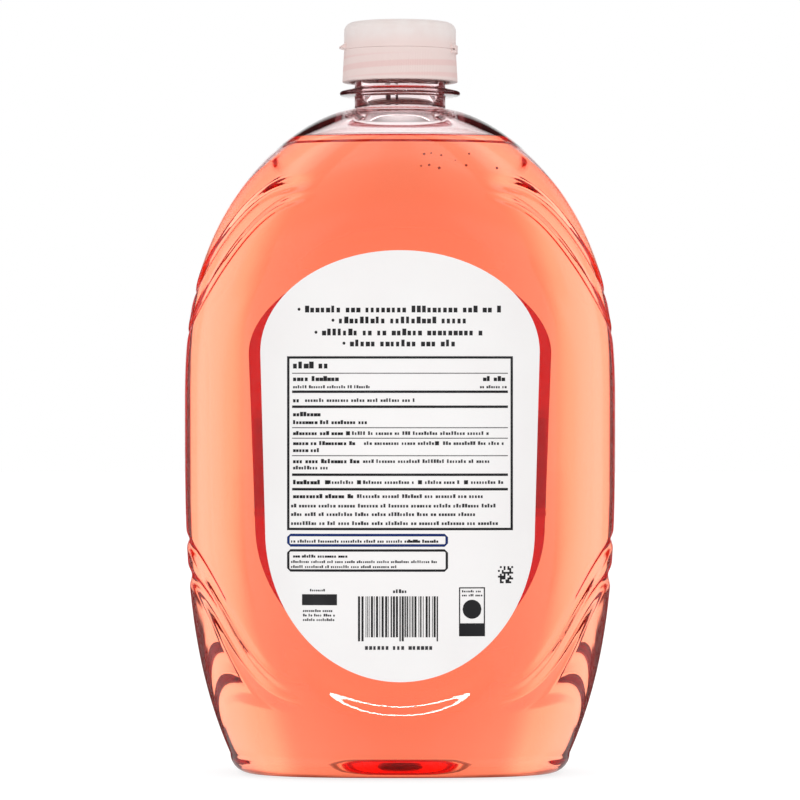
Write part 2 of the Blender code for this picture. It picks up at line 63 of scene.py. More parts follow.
FILL_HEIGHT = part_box("soap_fill")[1].z
LABEL_LOW, LABEL_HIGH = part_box("back_label")
SKIRT_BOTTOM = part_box("cap")[0].z
LID_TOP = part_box("flip_lid")[1].z

# Bottle body
BODY_WIDTH = BOTTLE_HIGH.x - BOTTLE_LOW.x
BODY_DEPTH = 0.0765
NECK_LENGTH = 0.0182
BODY_HEIGHT = BOTTLE_HIGH.z - NECK_LENGTH
WIDEST_SHARE = 0.56
FLAT_SHARE = 0.74
SHOULDER_POWER = 2.45
SIDE_SHOULDER_POWER = 2.4
NECK_POWER = 1.5
TAPER = 0.33
TAPER_POWER = 3.4
SIDE_TAPER = 0.34
SIDE_TAPER_POWER = 13
SQUARENESS = 2.7
HEEL_RADIUS = 0.0065
PUSH_UP = 0.0067
PUSH_UP_FLOOR = 0.30
PUSH_UP_RIM = 0.72

# Neck finish
NECK_RADIUS = 0.0152
NECK_BORE_RADIUS = 0.0130
NECK_FILLET = 0.0012
NECK_ROOT_RADIUS = NECK_RADIUS + NECK_FILLET
LEDGE_RADIUS = 0.0202
LEDGE_THICKNESS = 0.0016
LEDGE_SLOPE = 0.0010
LEDGE_ABOVE_ROOT = 0.0046
LEDGE_ROUND = 0.0006
LEDGE_ROUND_RISE = 0.0004
THREAD_HEIGHT = 0.0011
THREAD_WIDTH = 0.0022
THREAD_PITCH = 0.00423
THREAD_TURNS = 1.5
THREAD_ABOVE_LEDGE = 0.0026
THREAD_RUN_OUT = 0.08
THREAD_FOOT = 1.4
THREAD_FLANK = 0.9
RIM_ROUND = 0.0006
LEDGE_BOTTOM = BODY_HEIGHT + LEDGE_ABOVE_ROOT
LEDGE_TOP = LEDGE_BOTTOM + LEDGE_THICKNESS + LEDGE_SLOPE
RIM_HEIGHT = BODY_HEIGHT + NECK_LENGTH

# Label panels and labels
PANEL_RECESS = 0.0016
PANEL_MARGIN = 0.0060
PANEL_EDGE = 0.0080
LABEL_WIDTH = LABEL_HIGH.x - LABEL_LOW.x
LABEL_TOP = LABEL_HIGH.z
LABEL_TOP_ARCH = 0.0332
LABEL_BOTTOM_ARCH = 0.0496
LABEL_FOOT_SHARE = 0.965
LABEL_FOOT = LABEL_LOW.z + LABEL_BOTTOM_ARCH
LABEL_HEAD = LABEL_TOP - LABEL_TOP_ARCH
LABEL_OFF = 0.0003
LABEL_THICKNESS = 0.0002
INK_OFF = 0.00003

# Grooves, as heights above the ground, from the lowest to the highest
Groove = namedtuple("Groove", "side end turn ease stop reach depth")
GROOVES = (
    Groove(side=0.0665, end=0.0240, turn=0.0318, ease=0.0059, stop=0.062, reach=0.0040, depth=0.0010),
    Groove(side=0.0792, end=0.0275, turn=0.0330, ease=0.0073, stop=0.055, reach=0.0032, depth=0.0008),
    Groove(side=0.1435, end=0.1917, turn=0.0260, ease=0.0077, stop=0.062, reach=0.0024, depth=0.0009),
    Groove(side=0.1560, end=0.1957, turn=0.0200, ease=0.0066, stop=0.060, reach=0.0036, depth=0.0011),
)
GROOVE_FADE = 0.016

# Cap and lid
GAP = 0.0003
CAP_FLARE = 0.0006
SKIRT_BORE_RADIUS = 0.0167
CAP_TOP_RADIUS = SKIRT_BORE_RADIUS + 0.0020
SKIRT_EASE = 0.0008
DECK_BOTTOM = RIM_HEIGHT + GAP
DECK_TOP = DECK_BOTTOM + 0.0014
SEAL_WALL = 0.0010
SEAL_LENGTH = 0.0030
ORIFICE_RADIUS = 0.0040
SPOUT_WALL = 0.0013
SPOUT_HEIGHT = 0.0040
LID_BOTTOM = DECK_TOP + GAP
LID_WALL = 0.0012
LID_ROUND = 0.0030
PLUG_WALL = 0.0010
PLUG_DEPTH = 0.0015
SNAP_BEAD_HEIGHT = 0.0010
SNAP_BEAD_WIDTH = 0.0012
HINGE_HALF_ANGLE = 25.0
HINGE_DEPTH = 0.0005
HINGE_HEIGHT = 0.0022
HINGE_AXIS_X = CAP_TOP_RADIUS + HINGE_DEPTH
LEAF_ROOT = CAP_TOP_RADIUS - HINGE_DEPTH
TAB_REACH = 0.0017
TAB_HEIGHT = 0.0016
TAB_ROUND = 0.0003
TAB_HALF_ANGLE = 16.0
STRAP_THICKNESS = 0.0003
STRAP_SHARE = 0.7
RIBS = 198
RIB_DEPTH = 0.00009
RIBS_ABOVE_LIP = 0.0009
RIBS_BELOW_DECK = 0.0011
LIP_ROUND = 0.0003
FINE_ROUND = 0.00012
LIP_GAP = 0.00005
ON_AXIS = 0.00002

# Walls as shown: thin, so that the fill looks as wide as in the photograph, and thick at the corners
VISIBLE_WALL = 0.0004
INTO_WALL = 0.0001
CORNER_WALL = 0.0028
CORNER_TOP = 0.0090
CORNER_START = 0.0440
CORNER_RUN = 0.0080
TOP_WALL = 0.0010
TOP_START = 0.2085
TOP_RUN = 0.0125

# Surface of the fill, with its rim drawn up at the wall, the painted shade and highlight lines there,
# and the bubbles
MENISCUS = 0.0012
MENISCUS_LENGTH = 0.0016
MENISCUS_INSETS = (0.0003, 0.0007, 0.0012, 0.0018, 0.0026, 0.0036, 0.0050, 0.0080, 0.0140)
RIM_CLEARANCE = 0.0002
LINE_DEPTH = 0.00015
LINE_INSET = 0.997
BUBBLE_INSET = 0.004

# Print, laid out in units from the middle of the label's top edge, sideways and down. Greeked
# lines are made of blocks, whose measures are in times the line's height.
INK_UNIT = 0.0003265
INK_STRIP = 6
BLOCK_PITCH = 0.56
BLOCK_HEIGHTS = (0.50, 0.50, 0.50, 0.72)
BLOCK_DROP = 0.34
WORD_SPACE = 0.75

# Mesh fineness
COLUMNS = 240
BASE_ROWS = 30
FOOT_ROWS = 22
GROOVE_ROWS = 5
SIDE_ROWS = 50
SHOULDER_ROWS = 34
HEEL_ROWS = 6
THREAD_ROWS = 28
SKIRT_ROWS = 12
STRAP_ROWS = 10
LABEL_COLUMNS = 120
LABEL_ROWS = 90
FINE_STEPS = 600
MOST_OF_HALF = 0.42
SHARP_ANGLE = 35
BODY_SHARP_ANGLE = 60

# Camera: the photograph's scale and place of the horizon
CAMERA_DISTANCE = 1.4606
CAMERA_HEIGHT = 0.1242
HALF_VIEW = math.radians(5.24)
SENSOR = 0.036
CLIP_END = 20

# Cards whose reflections draw the bright line below the label: across, up, width, height
HIGHLIGHTS = (
    (0.0, 0.1115, 0.18, 0.011),
    (0.0, 0.0800, 0.18, 0.011),
    (-0.072, 0.0960, 0.036, 0.032),
)
CARD_DISTANCE = 0.39
CARD_AIM = 0.02
CARD_RADIANCE = 25.0
LIGHT_BOUNCES = 64


def smooth(value):
    """0 below 0, 1 above 1, with level ends in between."""
    t = min(max(value, 0.0), 1.0)
    return t * t * (3 - 2 * t)


def arc(centre_x, centre_z, radius, start, end, steps):
    """Points of a profile along an arc, both ends included."""
    turns = [math.radians(start + (end - start) * k / steps) for k in range(steps + 1)]
    return [(centre_x + radius * math.cos(t), centre_z + radius * math.sin(t)) for t in turns]


# Bottle surface


def fullness(height, turn_share, shoulder_power, taper, taper_power):
    """How full the outline is at a height: 1 at its widest and 0 at the neck."""
    share = height / BODY_HEIGHT
    above = min(max(share - turn_share, 0.0) / (1 - turn_share), 1.0)
    below = max(WIDEST_SHARE - share, 0.0) / WIDEST_SHARE
    return (1 - above**shoulder_power) ** (1 / NECK_POWER) - taper * below**taper_power


def half_width(height):
    """Half the body's width at a height, above the heel."""
    full = fullness(height, WIDEST_SHARE, SHOULDER_POWER, TAPER, TAPER_POWER)
    return NECK_ROOT_RADIUS + (BODY_WIDTH / 2 - NECK_ROOT_RADIUS) * full


def half_depth(height):
    """Half the body's depth at a height, above the heel."""
    full = fullness(height, FLAT_SHARE, SIDE_SHOULDER_POWER, SIDE_TAPER, SIDE_TAPER_POWER)
    return NECK_ROOT_RADIUS + (BODY_DEPTH / 2 - NECK_ROOT_RADIUS) * full


def neck_share(height):
    """How far the section has turned into the neck's circle at a height."""
    return smooth((height / BODY_HEIGHT - FLAT_SHARE) / (1 - FLAT_SHARE))


def section_point(width, depth, exponent, angle, height):
    """A point on a superellipse at a height."""
    power = 2 / exponent
    c, s = math.cos(angle), math.sin(angle)
    x = math.copysign(abs(c) ** power, c) * width
    y = math.copysign(abs(s) ** power, s) * depth
    return Vector((x, y, height))


def running_lengths(points):
    """The length along a line of points from its start to each of them."""
    lengths = [0.0]
    for before, after in zip(points, points[1:]):
        lengths.append(lengths[-1] + (after - before).length)
    return lengths


def read_off(value, known, wanted):
    """The wanted quantity at a value of the known one, from two rising lists."""
    k = min(max(bisect.bisect_right(known, value), 1), len(known) - 1)
    share = (value - known[k - 1]) / (known[k] - known[k - 1])
    return wanted[k - 1] + (wanted[k] - wanted[k - 1]) * share


def widest_quarter():
    """Section angles and distances round from the side, along a quarter of the widest section."""
    angles = [math.pi / 2 * k / FINE_STEPS for k in range(FINE_STEPS + 1)]
    width, depth = BODY_WIDTH / 2, BODY_DEPTH / 2
    points = [section_point(width, depth, SQUARENESS, angle, 0.0) for angle in angles]
    return angles, running_lengths(points)


def body_outline():
    """Heights and distances along the body's outline from the heel to the neck."""
    rise = BODY_HEIGHT - HEEL_RADIUS
    heights = [HEEL_RADIUS + rise * k / FINE_STEPS for k in range(FINE_STEPS + 1)]
    points = [Vector((half_width(height), height)) for height in heights]
    return heights, running_lengths(points)


QUARTER_ANGLES, QUARTER_LENGTHS = widest_quarter()
OUTLINE_HEIGHTS, OUTLINE_LENGTHS = body_outline()


def column_angle(column, height):
    """A column's section angle: columns are evenly spaced on the body and round the neck."""
    quarter = COLUMNS // 4
    turn, step = divmod(column, quarter)
    if turn % 2:
        step = quarter - step
    even = read_off(QUARTER_LENGTHS[-1] * step / quarter, QUARTER_LENGTHS, QUARTER_ANGLES)
    to_neck = neck_share(height)
    angle = even * (1 - to_neck) + math.pi / 2 * step / quarter * to_neck
    return (turn + 1) * math.pi / 2 - angle if turn % 2 else turn * math.pi / 2 + angle


def distance_round(column):
    """How far round the body a column lies from the nearer side."""
    half = COLUMNS // 2
    return QUARTER_LENGTHS[-1] * min(column % half, half - column % half) / (COLUMNS // 4)


def panel_depth(x):
    """Distance of a label panel from the middle plane. Its recess runs out towards its sides."""
    across = min(abs(x) / (BODY_WIDTH / 2), 1.0)
    body = BODY_DEPTH / 2 * (1 - across**SQUARENESS) ** (1 / SQUARENESS)
    side = LABEL_WIDTH / 2 + PANEL_MARGIN
    return body - PANEL_RECESS * (1 - min(abs(x) / side, 1.0) ** 2)


def label_half(z):
    """Half the label's width at a height, between its arches."""
    along = min(max((z - LABEL_FOOT) / (LABEL_HEAD - LABEL_FOOT), 0.0), 1.0)
    return LABEL_WIDTH / 2 * (LABEL_FOOT_SHARE + (1 - LABEL_FOOT_SHARE) * along)


def panel_share(x, z):
    """1 inside a label panel, 0 on the body round it, and a soft step between."""
    above, below = max(z - LABEL_HEAD, 0.0), max(LABEL_FOOT - z, 0.0)
    reach = math.hypot(x / label_half(z), above / LABEL_TOP_ARCH + below / LABEL_BOTTOM_ARCH)
    outside = (reach - 1) * LABEL_WIDTH / 2
    return 1 - smooth((outside - PANEL_MARGIN) / PANEL_EDGE)


def groove_middle(groove, around):
    """The height of a groove's middle line and its slope, at a distance round from the side."""
    turned_up = 1 / (1 + math.exp(-(around - groove.turn) / groove.ease))
    slope = (groove.end - groove.side) * turned_up * (1 - turned_up) / groove.ease
    return groove.side + (groove.end - groove.side) * turned_up, slope


def groove_depth(around, height):
    """How deep the grooves are at a distance round from the side and a height."""
    deepest = 0.0
    for groove in GROOVES:
        middle, slope = groove_middle(groove, around)
        off = abs(height - middle) / math.hypot(1, slope) / groove.reach
        fade = 1 - smooth((around - groove.stop + GROOVE_FADE) / GROOVE_FADE)
        deepest = max(deepest, groove.depth * fade * smooth(1 - off))
    return deepest


def grid_normals(grid):
    """The outward normal at each point of a grid of rings that runs from the base up."""
    places = np.array([[tuple(p) for p in ring] for ring in grid])
    across = np.roll(places, -1, axis=1) - np.roll(places, 1, axis=1)
    along = np.gradient(places, axis=0)
    normals = np.cross(across, along)
    normals /= np.linalg.norm(normals, axis=2, keepdims=True)
    return [[Vector(n) for n in ring] for ring in normals]


def wall_thickness(point):
    """The wall as shown: thin on the body, thick in the two lower corners and towards the neck."""
    low = 1 - smooth(point.z / CORNER_TOP)
    corner = CORNER_WALL * low * smooth((abs(point.x) - CORNER_START) / CORNER_RUN)
    return VISIBLE_WALL + corner + TOP_WALL * smooth((point.z - TOP_START) / TOP_RUN)


def inner_rings(surface, into_wall=0.0):
    """The rings of the wall's inner side, or of one a little way into the wall."""
    inside = []
    for ring, normals in zip(*surface):
        inside.append([p - n * (wall_thickness(p) - into_wall) for p, n in zip(ring, normals)])
    return inside


def base_and_heel_rows():
    """Half widths, half depths and heights of the base's rings, from the middle of its hollow to
    the ground, and of the rounded heel's."""
    heel_width, heel_depth = half_width(HEEL_RADIUS), half_depth(HEEL_RADIUS)
    rows = []
    for step in range(1, BASE_ROWS + 1):
        share = step / BASE_ROWS
        slope = (share - PUSH_UP_FLOOR) / (PUSH_UP_RIM - PUSH_UP_FLOOR)
        width, depth = (heel_width - HEEL_RADIUS) * share, (heel_depth - HEEL_RADIUS) * share
        rows.append((width, depth, PUSH_UP * (1 - smooth(slope))))
    for step in range(1, HEEL_ROWS + 1):
        angle = math.pi / 2 * step / (HEEL_ROWS + 1)
        inset = HEEL_RADIUS * (1 - math.sin(angle))
        rows.append((heel_width - inset, heel_depth - inset, HEEL_RADIUS * (1 - math.cos(angle))))
    return rows


def wall_heights(around):
    """Heights of the wall's rows at one column. The rows run along the grooves."""
    middles = [groove_middle(groove, around)[0] for groove in GROOVES]
    limits = [HEEL_RADIUS] + middles + [BODY_HEIGHT]
    marks = [HEEL_RADIUS]
    for k, groove in enumerate(GROOVES):
        middle, slope = groove_middle(groove, around)
        reach = groove.reach * math.hypot(1, slope)
        below = min(reach, MOST_OF_HALF * (middle - limits[k]))
        above = min(reach, MOST_OF_HALF * (limits[k + 2] - middle))
        marks += [middle - below, middle, middle + above]
    marks.append(BODY_HEIGHT)
    two_grooves = [GROOVE_ROWS] * 5
    steps = [FOOT_ROWS] + two_grooves + [SIDE_ROWS] + two_grooves + [SHOULDER_ROWS]
    heights = []
    for low, high, count in zip(marks, marks[1:], steps):
        start = read_off(low, OUTLINE_HEIGHTS, OUTLINE_LENGTHS)
        length = read_off(high, OUTLINE_HEIGHTS, OUTLINE_LENGTHS) - start
        for step in range(count):
            along = start + length * step / count
            heights.append(read_off(along, OUTLINE_LENGTHS, OUTLINE_HEIGHTS))
    return heights + [BODY_HEIGHT]


def wall_point(column, height):
    """A point of the wall, set in where a label panel is, before its grooves are cut."""
    angle = column_angle(column, height)
    exponent = SQUARENESS + (2 - SQUARENESS) * neck_share(height)
    point = section_point(half_width(height), half_depth(height), exponent, angle, height)
    panel = math.copysign(panel_depth(point.x), point.y)
    point.y += (panel - point.y) * panel_share(point.x, height)
    return point


def body_surface():
    """The bottle's outer surface below the neck and the directions in which its wall is thick."""
    grid = []
    for width, depth, height in base_and_heel_rows():
        angles = [column_angle(column, height) for column in range(COLUMNS)]
        grid.append([section_point(width, depth, SQUARENESS, a, height) for a in angles])
    below_wall = len(grid)
    columns = []
    for column in range(COLUMNS):
        heights = wall_heights(distance_round(column))
        columns.append([wall_point(column, height) for height in heights])
    grid += [list(ring) for ring in zip(*columns)]
    normals = grid_normals(grid)
    for row in range(below_wall, len(grid)):
        for column in range(COLUMNS):
            point = grid[row][column]
            depth = groove_depth(distance_round(column), point.z)
            grid[row][column] = point - normals[row][column] * depth
    return grid, normals


# Neck


def thread_rise(angle, z):
    """How far the thread stands out of the neck at an angle and a height."""
    rise = 0.0
    start = LEDGE_TOP + THREAD_ABOVE_LEDGE
    for turn in range(math.ceil(THREAD_TURNS)):
        travelled = angle / math.tau + turn
        if travelled <= THREAD_TURNS:
            off = abs(z - start - THREAD_PITCH * travelled) / (THREAD_WIDTH / 2)
            run_out = smooth(min(travelled, THREAD_TURNS - travelled) / THREAD_RUN_OUT)
            rise = max(rise, THREAD_HEIGHT * run_out * smooth((THREAD_FOOT - off) / THREAD_FLANK))
    return rise


def neck_ring(radius, height, threaded=False):
    """A round ring of the neck, whose columns follow the body's."""
    ring = []
    for column in range(COLUMNS):
        angle = column_angle(column, BODY_HEIGHT)
        reach = radius + (thread_rise(angle, height) if threaded else 0.0)
        ring.append(Vector((reach * math.cos(angle), reach * math.sin(angle), height)))
    return ring


def neck_rings():
    """The neck from its root to the rim: fillet, ledge, threaded finish and rounded rim."""
    edge = LEDGE_THICKNESS / 2
    beside = NECK_RADIUS + LEDGE_ROUND
    low, high = LEDGE_TOP + LEDGE_ROUND, RIM_HEIGHT - RIM_ROUND
    profile = arc(NECK_ROOT_RADIUS, BODY_HEIGHT + NECK_FILLET, NECK_FILLET, 270, 180, 6)[1:]
    profile.append((NECK_RADIUS, LEDGE_BOTTOM - LEDGE_ROUND))
    profile += arc(beside, LEDGE_BOTTOM - LEDGE_ROUND, LEDGE_ROUND, 180, 90, 4)[1:]
    profile += arc(LEDGE_RADIUS - edge, LEDGE_BOTTOM + edge, edge, 270, 440, 8)
    profile += arc(beside, LEDGE_TOP + LEDGE_ROUND_RISE, LEDGE_ROUND, 250, 180, 4)
    rings = [neck_ring(r, z) for r, z in profile]
    for row in range(1, THREAD_ROWS + 1):
        rings.append(neck_ring(NECK_RADIUS, low + (high - low) * row / THREAD_ROWS, True))
    top = arc(NECK_RADIUS - RIM_ROUND, high, RIM_ROUND, 0, 90, 4)[1:]
    top += arc(NECK_BORE_RADIUS + RIM_ROUND, high, RIM_ROUND, 90, 180, 4)
    top += [(NECK_BORE_RADIUS, LEDGE_BOTTOM), (NECK_BORE_RADIUS, BODY_HEIGHT + NECK_FILLET)]
    return rings + [neck_ring(r, z) for r, z in top]


# Mesh helpers


def add_object(name, data):
    """An object with its data, in the scene."""
    made = bpy.data.objects.new(name, data)
    bpy.context.scene.collection.objects.link(made)
    return made


def mesh_object(name, points, faces, look, body=None, sharp=SHARP_ANGLE):
    """A piece from points and faces, riding on a body if one is given."""
    mesh = bpy.data.meshes.new(name)
    mesh.from_pydata([tuple(p) for p in points], [], faces)
    mesh.update()
    mesh.shade_smooth()
    mesh.set_sharp_from_angle(angle=math.radians(sharp))
    mesh.materials.append(look)
    made = add_object(name, mesh)
    if body:
        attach(made, body)
    return made


def ring_faces(count, rows, closed):
    """Quads between rings of as many points, and from the last ring to the first if closed."""
    faces = []
    for row in range(rows if closed else rows - 1):
        this, following = row * count, (row + 1) % rows * count
        for k in range(count):
            n = (k + 1) % count
            faces.append((this + k, this + n, following + n, following + k))
    return faces


def loft(name, rings, look, body, sharp=SHARP_ANGLE):
    """A closed piece through rings of as many points, with a flat face at each end."""
    count, rows = len(rings[0]), len(rings)
    faces = ring_faces(count, rows, False)
    faces.append(tuple(reversed(range(count))))
    faces.append(tuple(range((rows - 1) * count, rows * count)))
    return mesh_object(name, [p for ring in rings for p in ring], faces, look, body, sharp)


def turn_profile(name, profile, look, body, segments=COLUMNS, wobble=None):
    """A closed piece turned from a closed profile of (radius, height) points."""
    points = []
    for radius, height in profile:
        for k in range(segments):
            angle = math.tau * k / segments
            reach = radius + (wobble(radius, height, angle) if wobble else 0.0)
            points.append((reach * math.cos(angle), reach * math.sin(angle), height))
    return mesh_object(name, points, ring_faces(segments, len(profile), True), look, body)


def sweep(name, profile, middle, half_angle, look, body=None, steps=20):
    """A closed piece from a profile of (radius, height) points swept part of a turn."""
    rings = []
    for k in range(steps + 1):
        angle = math.radians(middle + half_angle - 2 * half_angle * k / steps)
        rings.append([Vector((r * math.cos(angle), r * math.sin(angle), z)) for r, z in profile])
    return loft(name, rings, look, body)


# Nodes


def give(tree, socket, value):
    """Sets a socket to a constant, or links another socket to it."""
    if isinstance(value, bpy.types.NodeSocket):
        tree.links.new(value, socket)
    elif socket.type == "RGBA":
        socket.default_value = (*value, 1)
    else:
        socket.default_value = value


def feed(tree, node, **values):
    """Gives a node's inputs their values by name."""
    for key, value in values.items():
        give(tree, node.inputs[key.replace("_", " ")], value)


def add_node(tree, kind, **values):
    """A node with its inputs given by name."""
    node = tree.nodes.new(kind)
    feed(tree, node, **values)
    return node


def calc(tree, operation, *values):
    """The result of a sum on numbers and sockets."""
    node = tree.nodes.new("ShaderNodeMath")
    node.operation = operation
    for socket, value in zip(node.inputs, values):
        give(tree, socket, value)
    return node.outputs["Value"]


def eased(tree, value, low, high, start=0.0, end=1.0):
    """A value eased from start to end while the given one goes from low to high."""
    node = tree.nodes.new("ShaderNodeMapRange")
    node.interpolation_type = "SMOOTHSTEP"
    feed(tree, node, Value=value, From_Min=low, From_Max=high, To_Min=start, To_Max=end)
    return node.outputs["Result"]


def parted(tree, vector):
    """The three coordinates of a vector."""
    parts = add_node(tree, "ShaderNodeSeparateXYZ", Vector=vector)
    return [parts.outputs[axis] for axis in "XYZ"]


def mixed_colour(tree, share, first, second):
    """A colour that turns from the first to the second with the share."""
    node = tree.nodes.new("ShaderNodeMix")
    node.data_type = "RGBA"
    feed(tree, node, Factor=share, A=first, B=second)
    return node.outputs["Result"]


def scaled(tree, colour, factor):
    """A colour times a value."""
    node = tree.nodes.new("ShaderNodeVectorMath")
    node.operation = "SCALE"
    feed(tree, node, Vector=colour, Scale=factor)
    return node.outputs["Vector"]


def ramp(tree, value, stops, interpolation):
    """A colour read off at a value, from stops of (place, colour) with places from 0 to 1."""
    node = add_node(tree, "ShaderNodeValToRGB", Fac=value)
    node.color_ramp.interpolation = interpolation
    elements = node.color_ramp.elements
    for k, (place, colour) in enumerate(stops):
        element = elements[k] if k < 2 else elements.new(place)
        element.position = place
        element.color = (*colour, 1)
    return node.outputs["Color"]


def noise(tree, scale, detail):
    """Soft noise fixed to the piece."""
    place = tree.nodes.new("ShaderNodeTexCoord").outputs["Object"]
    node = add_node(tree, "ShaderNodeTexNoise", Vector=place, Scale=scale, Detail=detail)
    return node.outputs["Fac"]


def mixed_surface(tree, share, first, second):
    """Makes the material's surface a mix of two shaders."""
    mix = add_node(tree, "ShaderNodeMixShader", Fac=share)
    tree.links.new(first, mix.inputs[1])
    tree.links.new(second, mix.inputs[2])
    tree.links.new(mix.outputs["Shader"], tree.nodes["Material Output"].inputs["Surface"])


# Materials


def new_material(name, **values):
    """A material with its node tree and its shader, whose inputs are given by name."""
    made = bpy.data.materials.new(name)
    made.use_nodes = True
    shader = made.node_tree.nodes["Principled BSDF"]
    feed(made.node_tree, shader, **values)
    return made, made.node_tree, shader


def speckled(tree, scale, dark, light):
    """A faint mottling between two colours."""
    return ramp(tree, noise(tree, scale, 4.0), ((0.3, dark), (0.7, light)), "LINEAR")


def uneven(tree, shader, scale, depth):
    """A slight unevenness of the surface."""
    height = noise(tree, scale, 3.0)
    bump = add_node(tree, "ShaderNodeBump", Strength=1.0, Distance=depth, Height=height)
    feed(tree, shader, Normal=bump.outputs["Normal"])


def absorbing(tree, colour, density):
    """Colours the light that passes through a solid."""
    volume = add_node(tree, "ShaderNodeVolumeAbsorption", Color=colour, Density=density)
    tree.links.new(volume.outputs["Volume"], tree.nodes["Material Output"].inputs["Volume"])


def lit_through(tree, shader, colour, share):
    """Lets light from the far side through a thin film, in a share of the surface's light."""
    through = add_node(tree, "ShaderNodeBsdfTranslucent", Color=colour)
    mixed_surface(tree, share, shader.outputs["BSDF"], through.outputs["BSDF"])


def clear_plastic():
    """Blown polyester: clear, glossy, very slightly uneven, and mauve where it is thick."""
    pale = (0.99, 0.985, 0.985)
    made, tree, shader = new_material(
        "clear_polyester", Base_Color=pale, Roughness=0.0, IOR=1.5, Transmission_Weight=1.0
    )
    uneven(tree, shader, 28.0, 0.00004)
    absorbing(tree, (0.72, 0.50, 0.52), 130.0)
    return made


def coral_liquid():
    """Liquid soap: clear, and coral by what it absorbs."""
    values = {"Base_Color": (1, 1, 1), "Roughness": 0.0, "IOR": 1.36, "Transmission_Weight": 1.0}
    made, tree = new_material("coral_liquid", **values)[:2]
    absorbing(tree, (0.985, 0.345, 0.060), 34.5)
    return made


def mottled(name, scale, dark, light, through=0.0, bumps=0.0, **values):
    """A material mottled between two colours. It may be lit through from behind, and uneven."""
    made, tree, shader = new_material(name, **values)
    colour = speckled(tree, scale, dark, light)
    feed(tree, shader, Base_Color=colour)
    if bumps:
        uneven(tree, shader, 60.0, bumps)
    if through:
        lit_through(tree, shader, colour, through)
    return made


def half_clear(name, scale, dark, light, roughness, ior, clear):
    """The look of something small that is partly clear."""
    values = {"Roughness": roughness, "IOR": ior, "Transmission_Weight": clear}
    return mottled(name, scale, dark, light, **values)


def film(name, dark, light, roughness, through=0.0, gloss=0.5):
    """Ink or plain label film, softly glossy."""
    values = {"Roughness": roughness, "Specular_IOR_Level": gloss}
    return mottled(name, 45.0, dark, light, through, 0.00003, **values)


# Where the cap's plastic changes, as (from, to) or (from, to, value before, value after): heights
# for the skirt, the deck and the rosy tint of painted soap light, and distances from a turn's
# middle for the thread's painted shade
SKIRT_EDGE = (SKIRT_BOTTOM + 0.0008, SKIRT_BOTTOM + 0.0016)
DECK_EDGE = (DECK_TOP - 0.0030, DECK_TOP - 0.0016, 1.0, 0.0)
SOAP_LIGHT_TINT_EDGE = (DECK_TOP + 0.0005, DECK_TOP + 0.0060, 0.8, 0.0)
THREAD_SHADE_EDGE = (0.16, 0.30, 0.55, 0.0)


def frosted_plastic():
    """Natural polypropylene: milky, with the soap's light painted on as a rosy tint low on the cap, and
    painted shade in darker bands where its thread shows through.
    """
    made, tree, shader = new_material(
        "frosted_polypropylene", Roughness=0.42, Transmission_Weight=0.03, Sheen_Weight=0.3
    )
    x, y, z = parted(tree, tree.nodes.new("ShaderNodeTexCoord").outputs["Object"])
    turned = calc(tree, "DIVIDE", calc(tree, "ARCTAN2", y, x), math.tau)
    climbed = calc(tree, "DIVIDE", calc(tree, "SUBTRACT", z, SKIRT_BOTTOM), THREAD_PITCH)
    phase = calc(tree, "FRACT", calc(tree, "SUBTRACT", climbed, turned))
    off = calc(tree, "ABSOLUTE", calc(tree, "SUBTRACT", phase, 0.5))
    in_skirt = calc(tree, "MULTIPLY", eased(tree, z, *SKIRT_EDGE), eased(tree, z, *DECK_EDGE))
    # Painted shade: darker bands where the thread inside shows through the skirt
    thread = calc(tree, "MULTIPLY", eased(tree, off, *THREAD_SHADE_EDGE), in_skirt)
    pale = speckled(tree, 160.0, (0.96, 0.845, 0.815), (1.0, 0.925, 0.90))
    # Painted light: the soap's light, painted on the lower cap as a rosy tint
    rosy = mixed_colour(tree, eased(tree, z, *SOAP_LIGHT_TINT_EDGE), pale, (0.985, 0.775, 0.735))
    colour = mixed_colour(tree, thread, rosy, (0.94, 0.62, 0.59))
    feed(tree, shader, Base_Color=colour)
    lit_through(tree, shader, colour, 0.1)
    return made


# Pieces


def make_bottle(surface, look):
    """The blown bottle with its neck, in one piece."""
    inner = inner_rings(surface)[:-1]
    rings = surface[0] + neck_rings() + inner[::-1]
    bottle = loft("clear_bottle", rings, look, "bottle", BODY_SHARP_ANGLE)
    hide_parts("bottle")


def ring_at(rings, height):
    """The ring in which a stack of rings crosses a height."""
    crossings = []
    for column in zip(*rings):
        k = next(i for i, p in enumerate(column) if p.z >= height)
        low, high = column[k - 1], column[k]
        crossings.append(low.lerp(high, (height - low.z) / (high.z - low.z)))
    return crossings


def make_soap(surface, look):
    """The fill, a little into the wall so that no air shows between, with a curved rim on top."""
    inside = inner_rings(surface, INTO_WALL)
    edge_height = FILL_HEIGHT + MENISCUS
    rings = [ring for ring in inside if max(p.z for p in ring) < edge_height - RIM_CLEARANCE]
    rim = ring_at(inside, edge_height)
    rings.append(rim)
    for inset in MENISCUS_INSETS:
        height = FILL_HEIGHT + MENISCUS * math.exp(-inset / MENISCUS_LENGTH)
        shares = [1 - inset / math.hypot(p.x, p.y) for p in rim]
        rings.append([Vector((p.x * s, p.y * s, height)) for p, s in zip(rim, shares)])
    soap = loft("coral_soap", rings, look, "bottle", BODY_SHARP_ANGLE)
    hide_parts("soap_fill")


def make_surface_line(surface, name, low, high, look):
    """A thin band round the inside of the wall at the surface of the fill: a line of painted shade, and
    another of painted highlight, are made with it.
    """
    inside = inner_rings(surface, -LINE_DEPTH)
    outer = [ring_at(inside, FILL_HEIGHT + level) for level in (low, high)]
    inner = [[Vector((p.x * LINE_INSET, p.y * LINE_INSET, p.z)) for p in ring] for ring in outer]
    points = outer[0] + outer[1] + inner[1] + inner[0]
    line = mesh_object(name, points, ring_faces(COLUMNS, 4, True), look, "bottle")


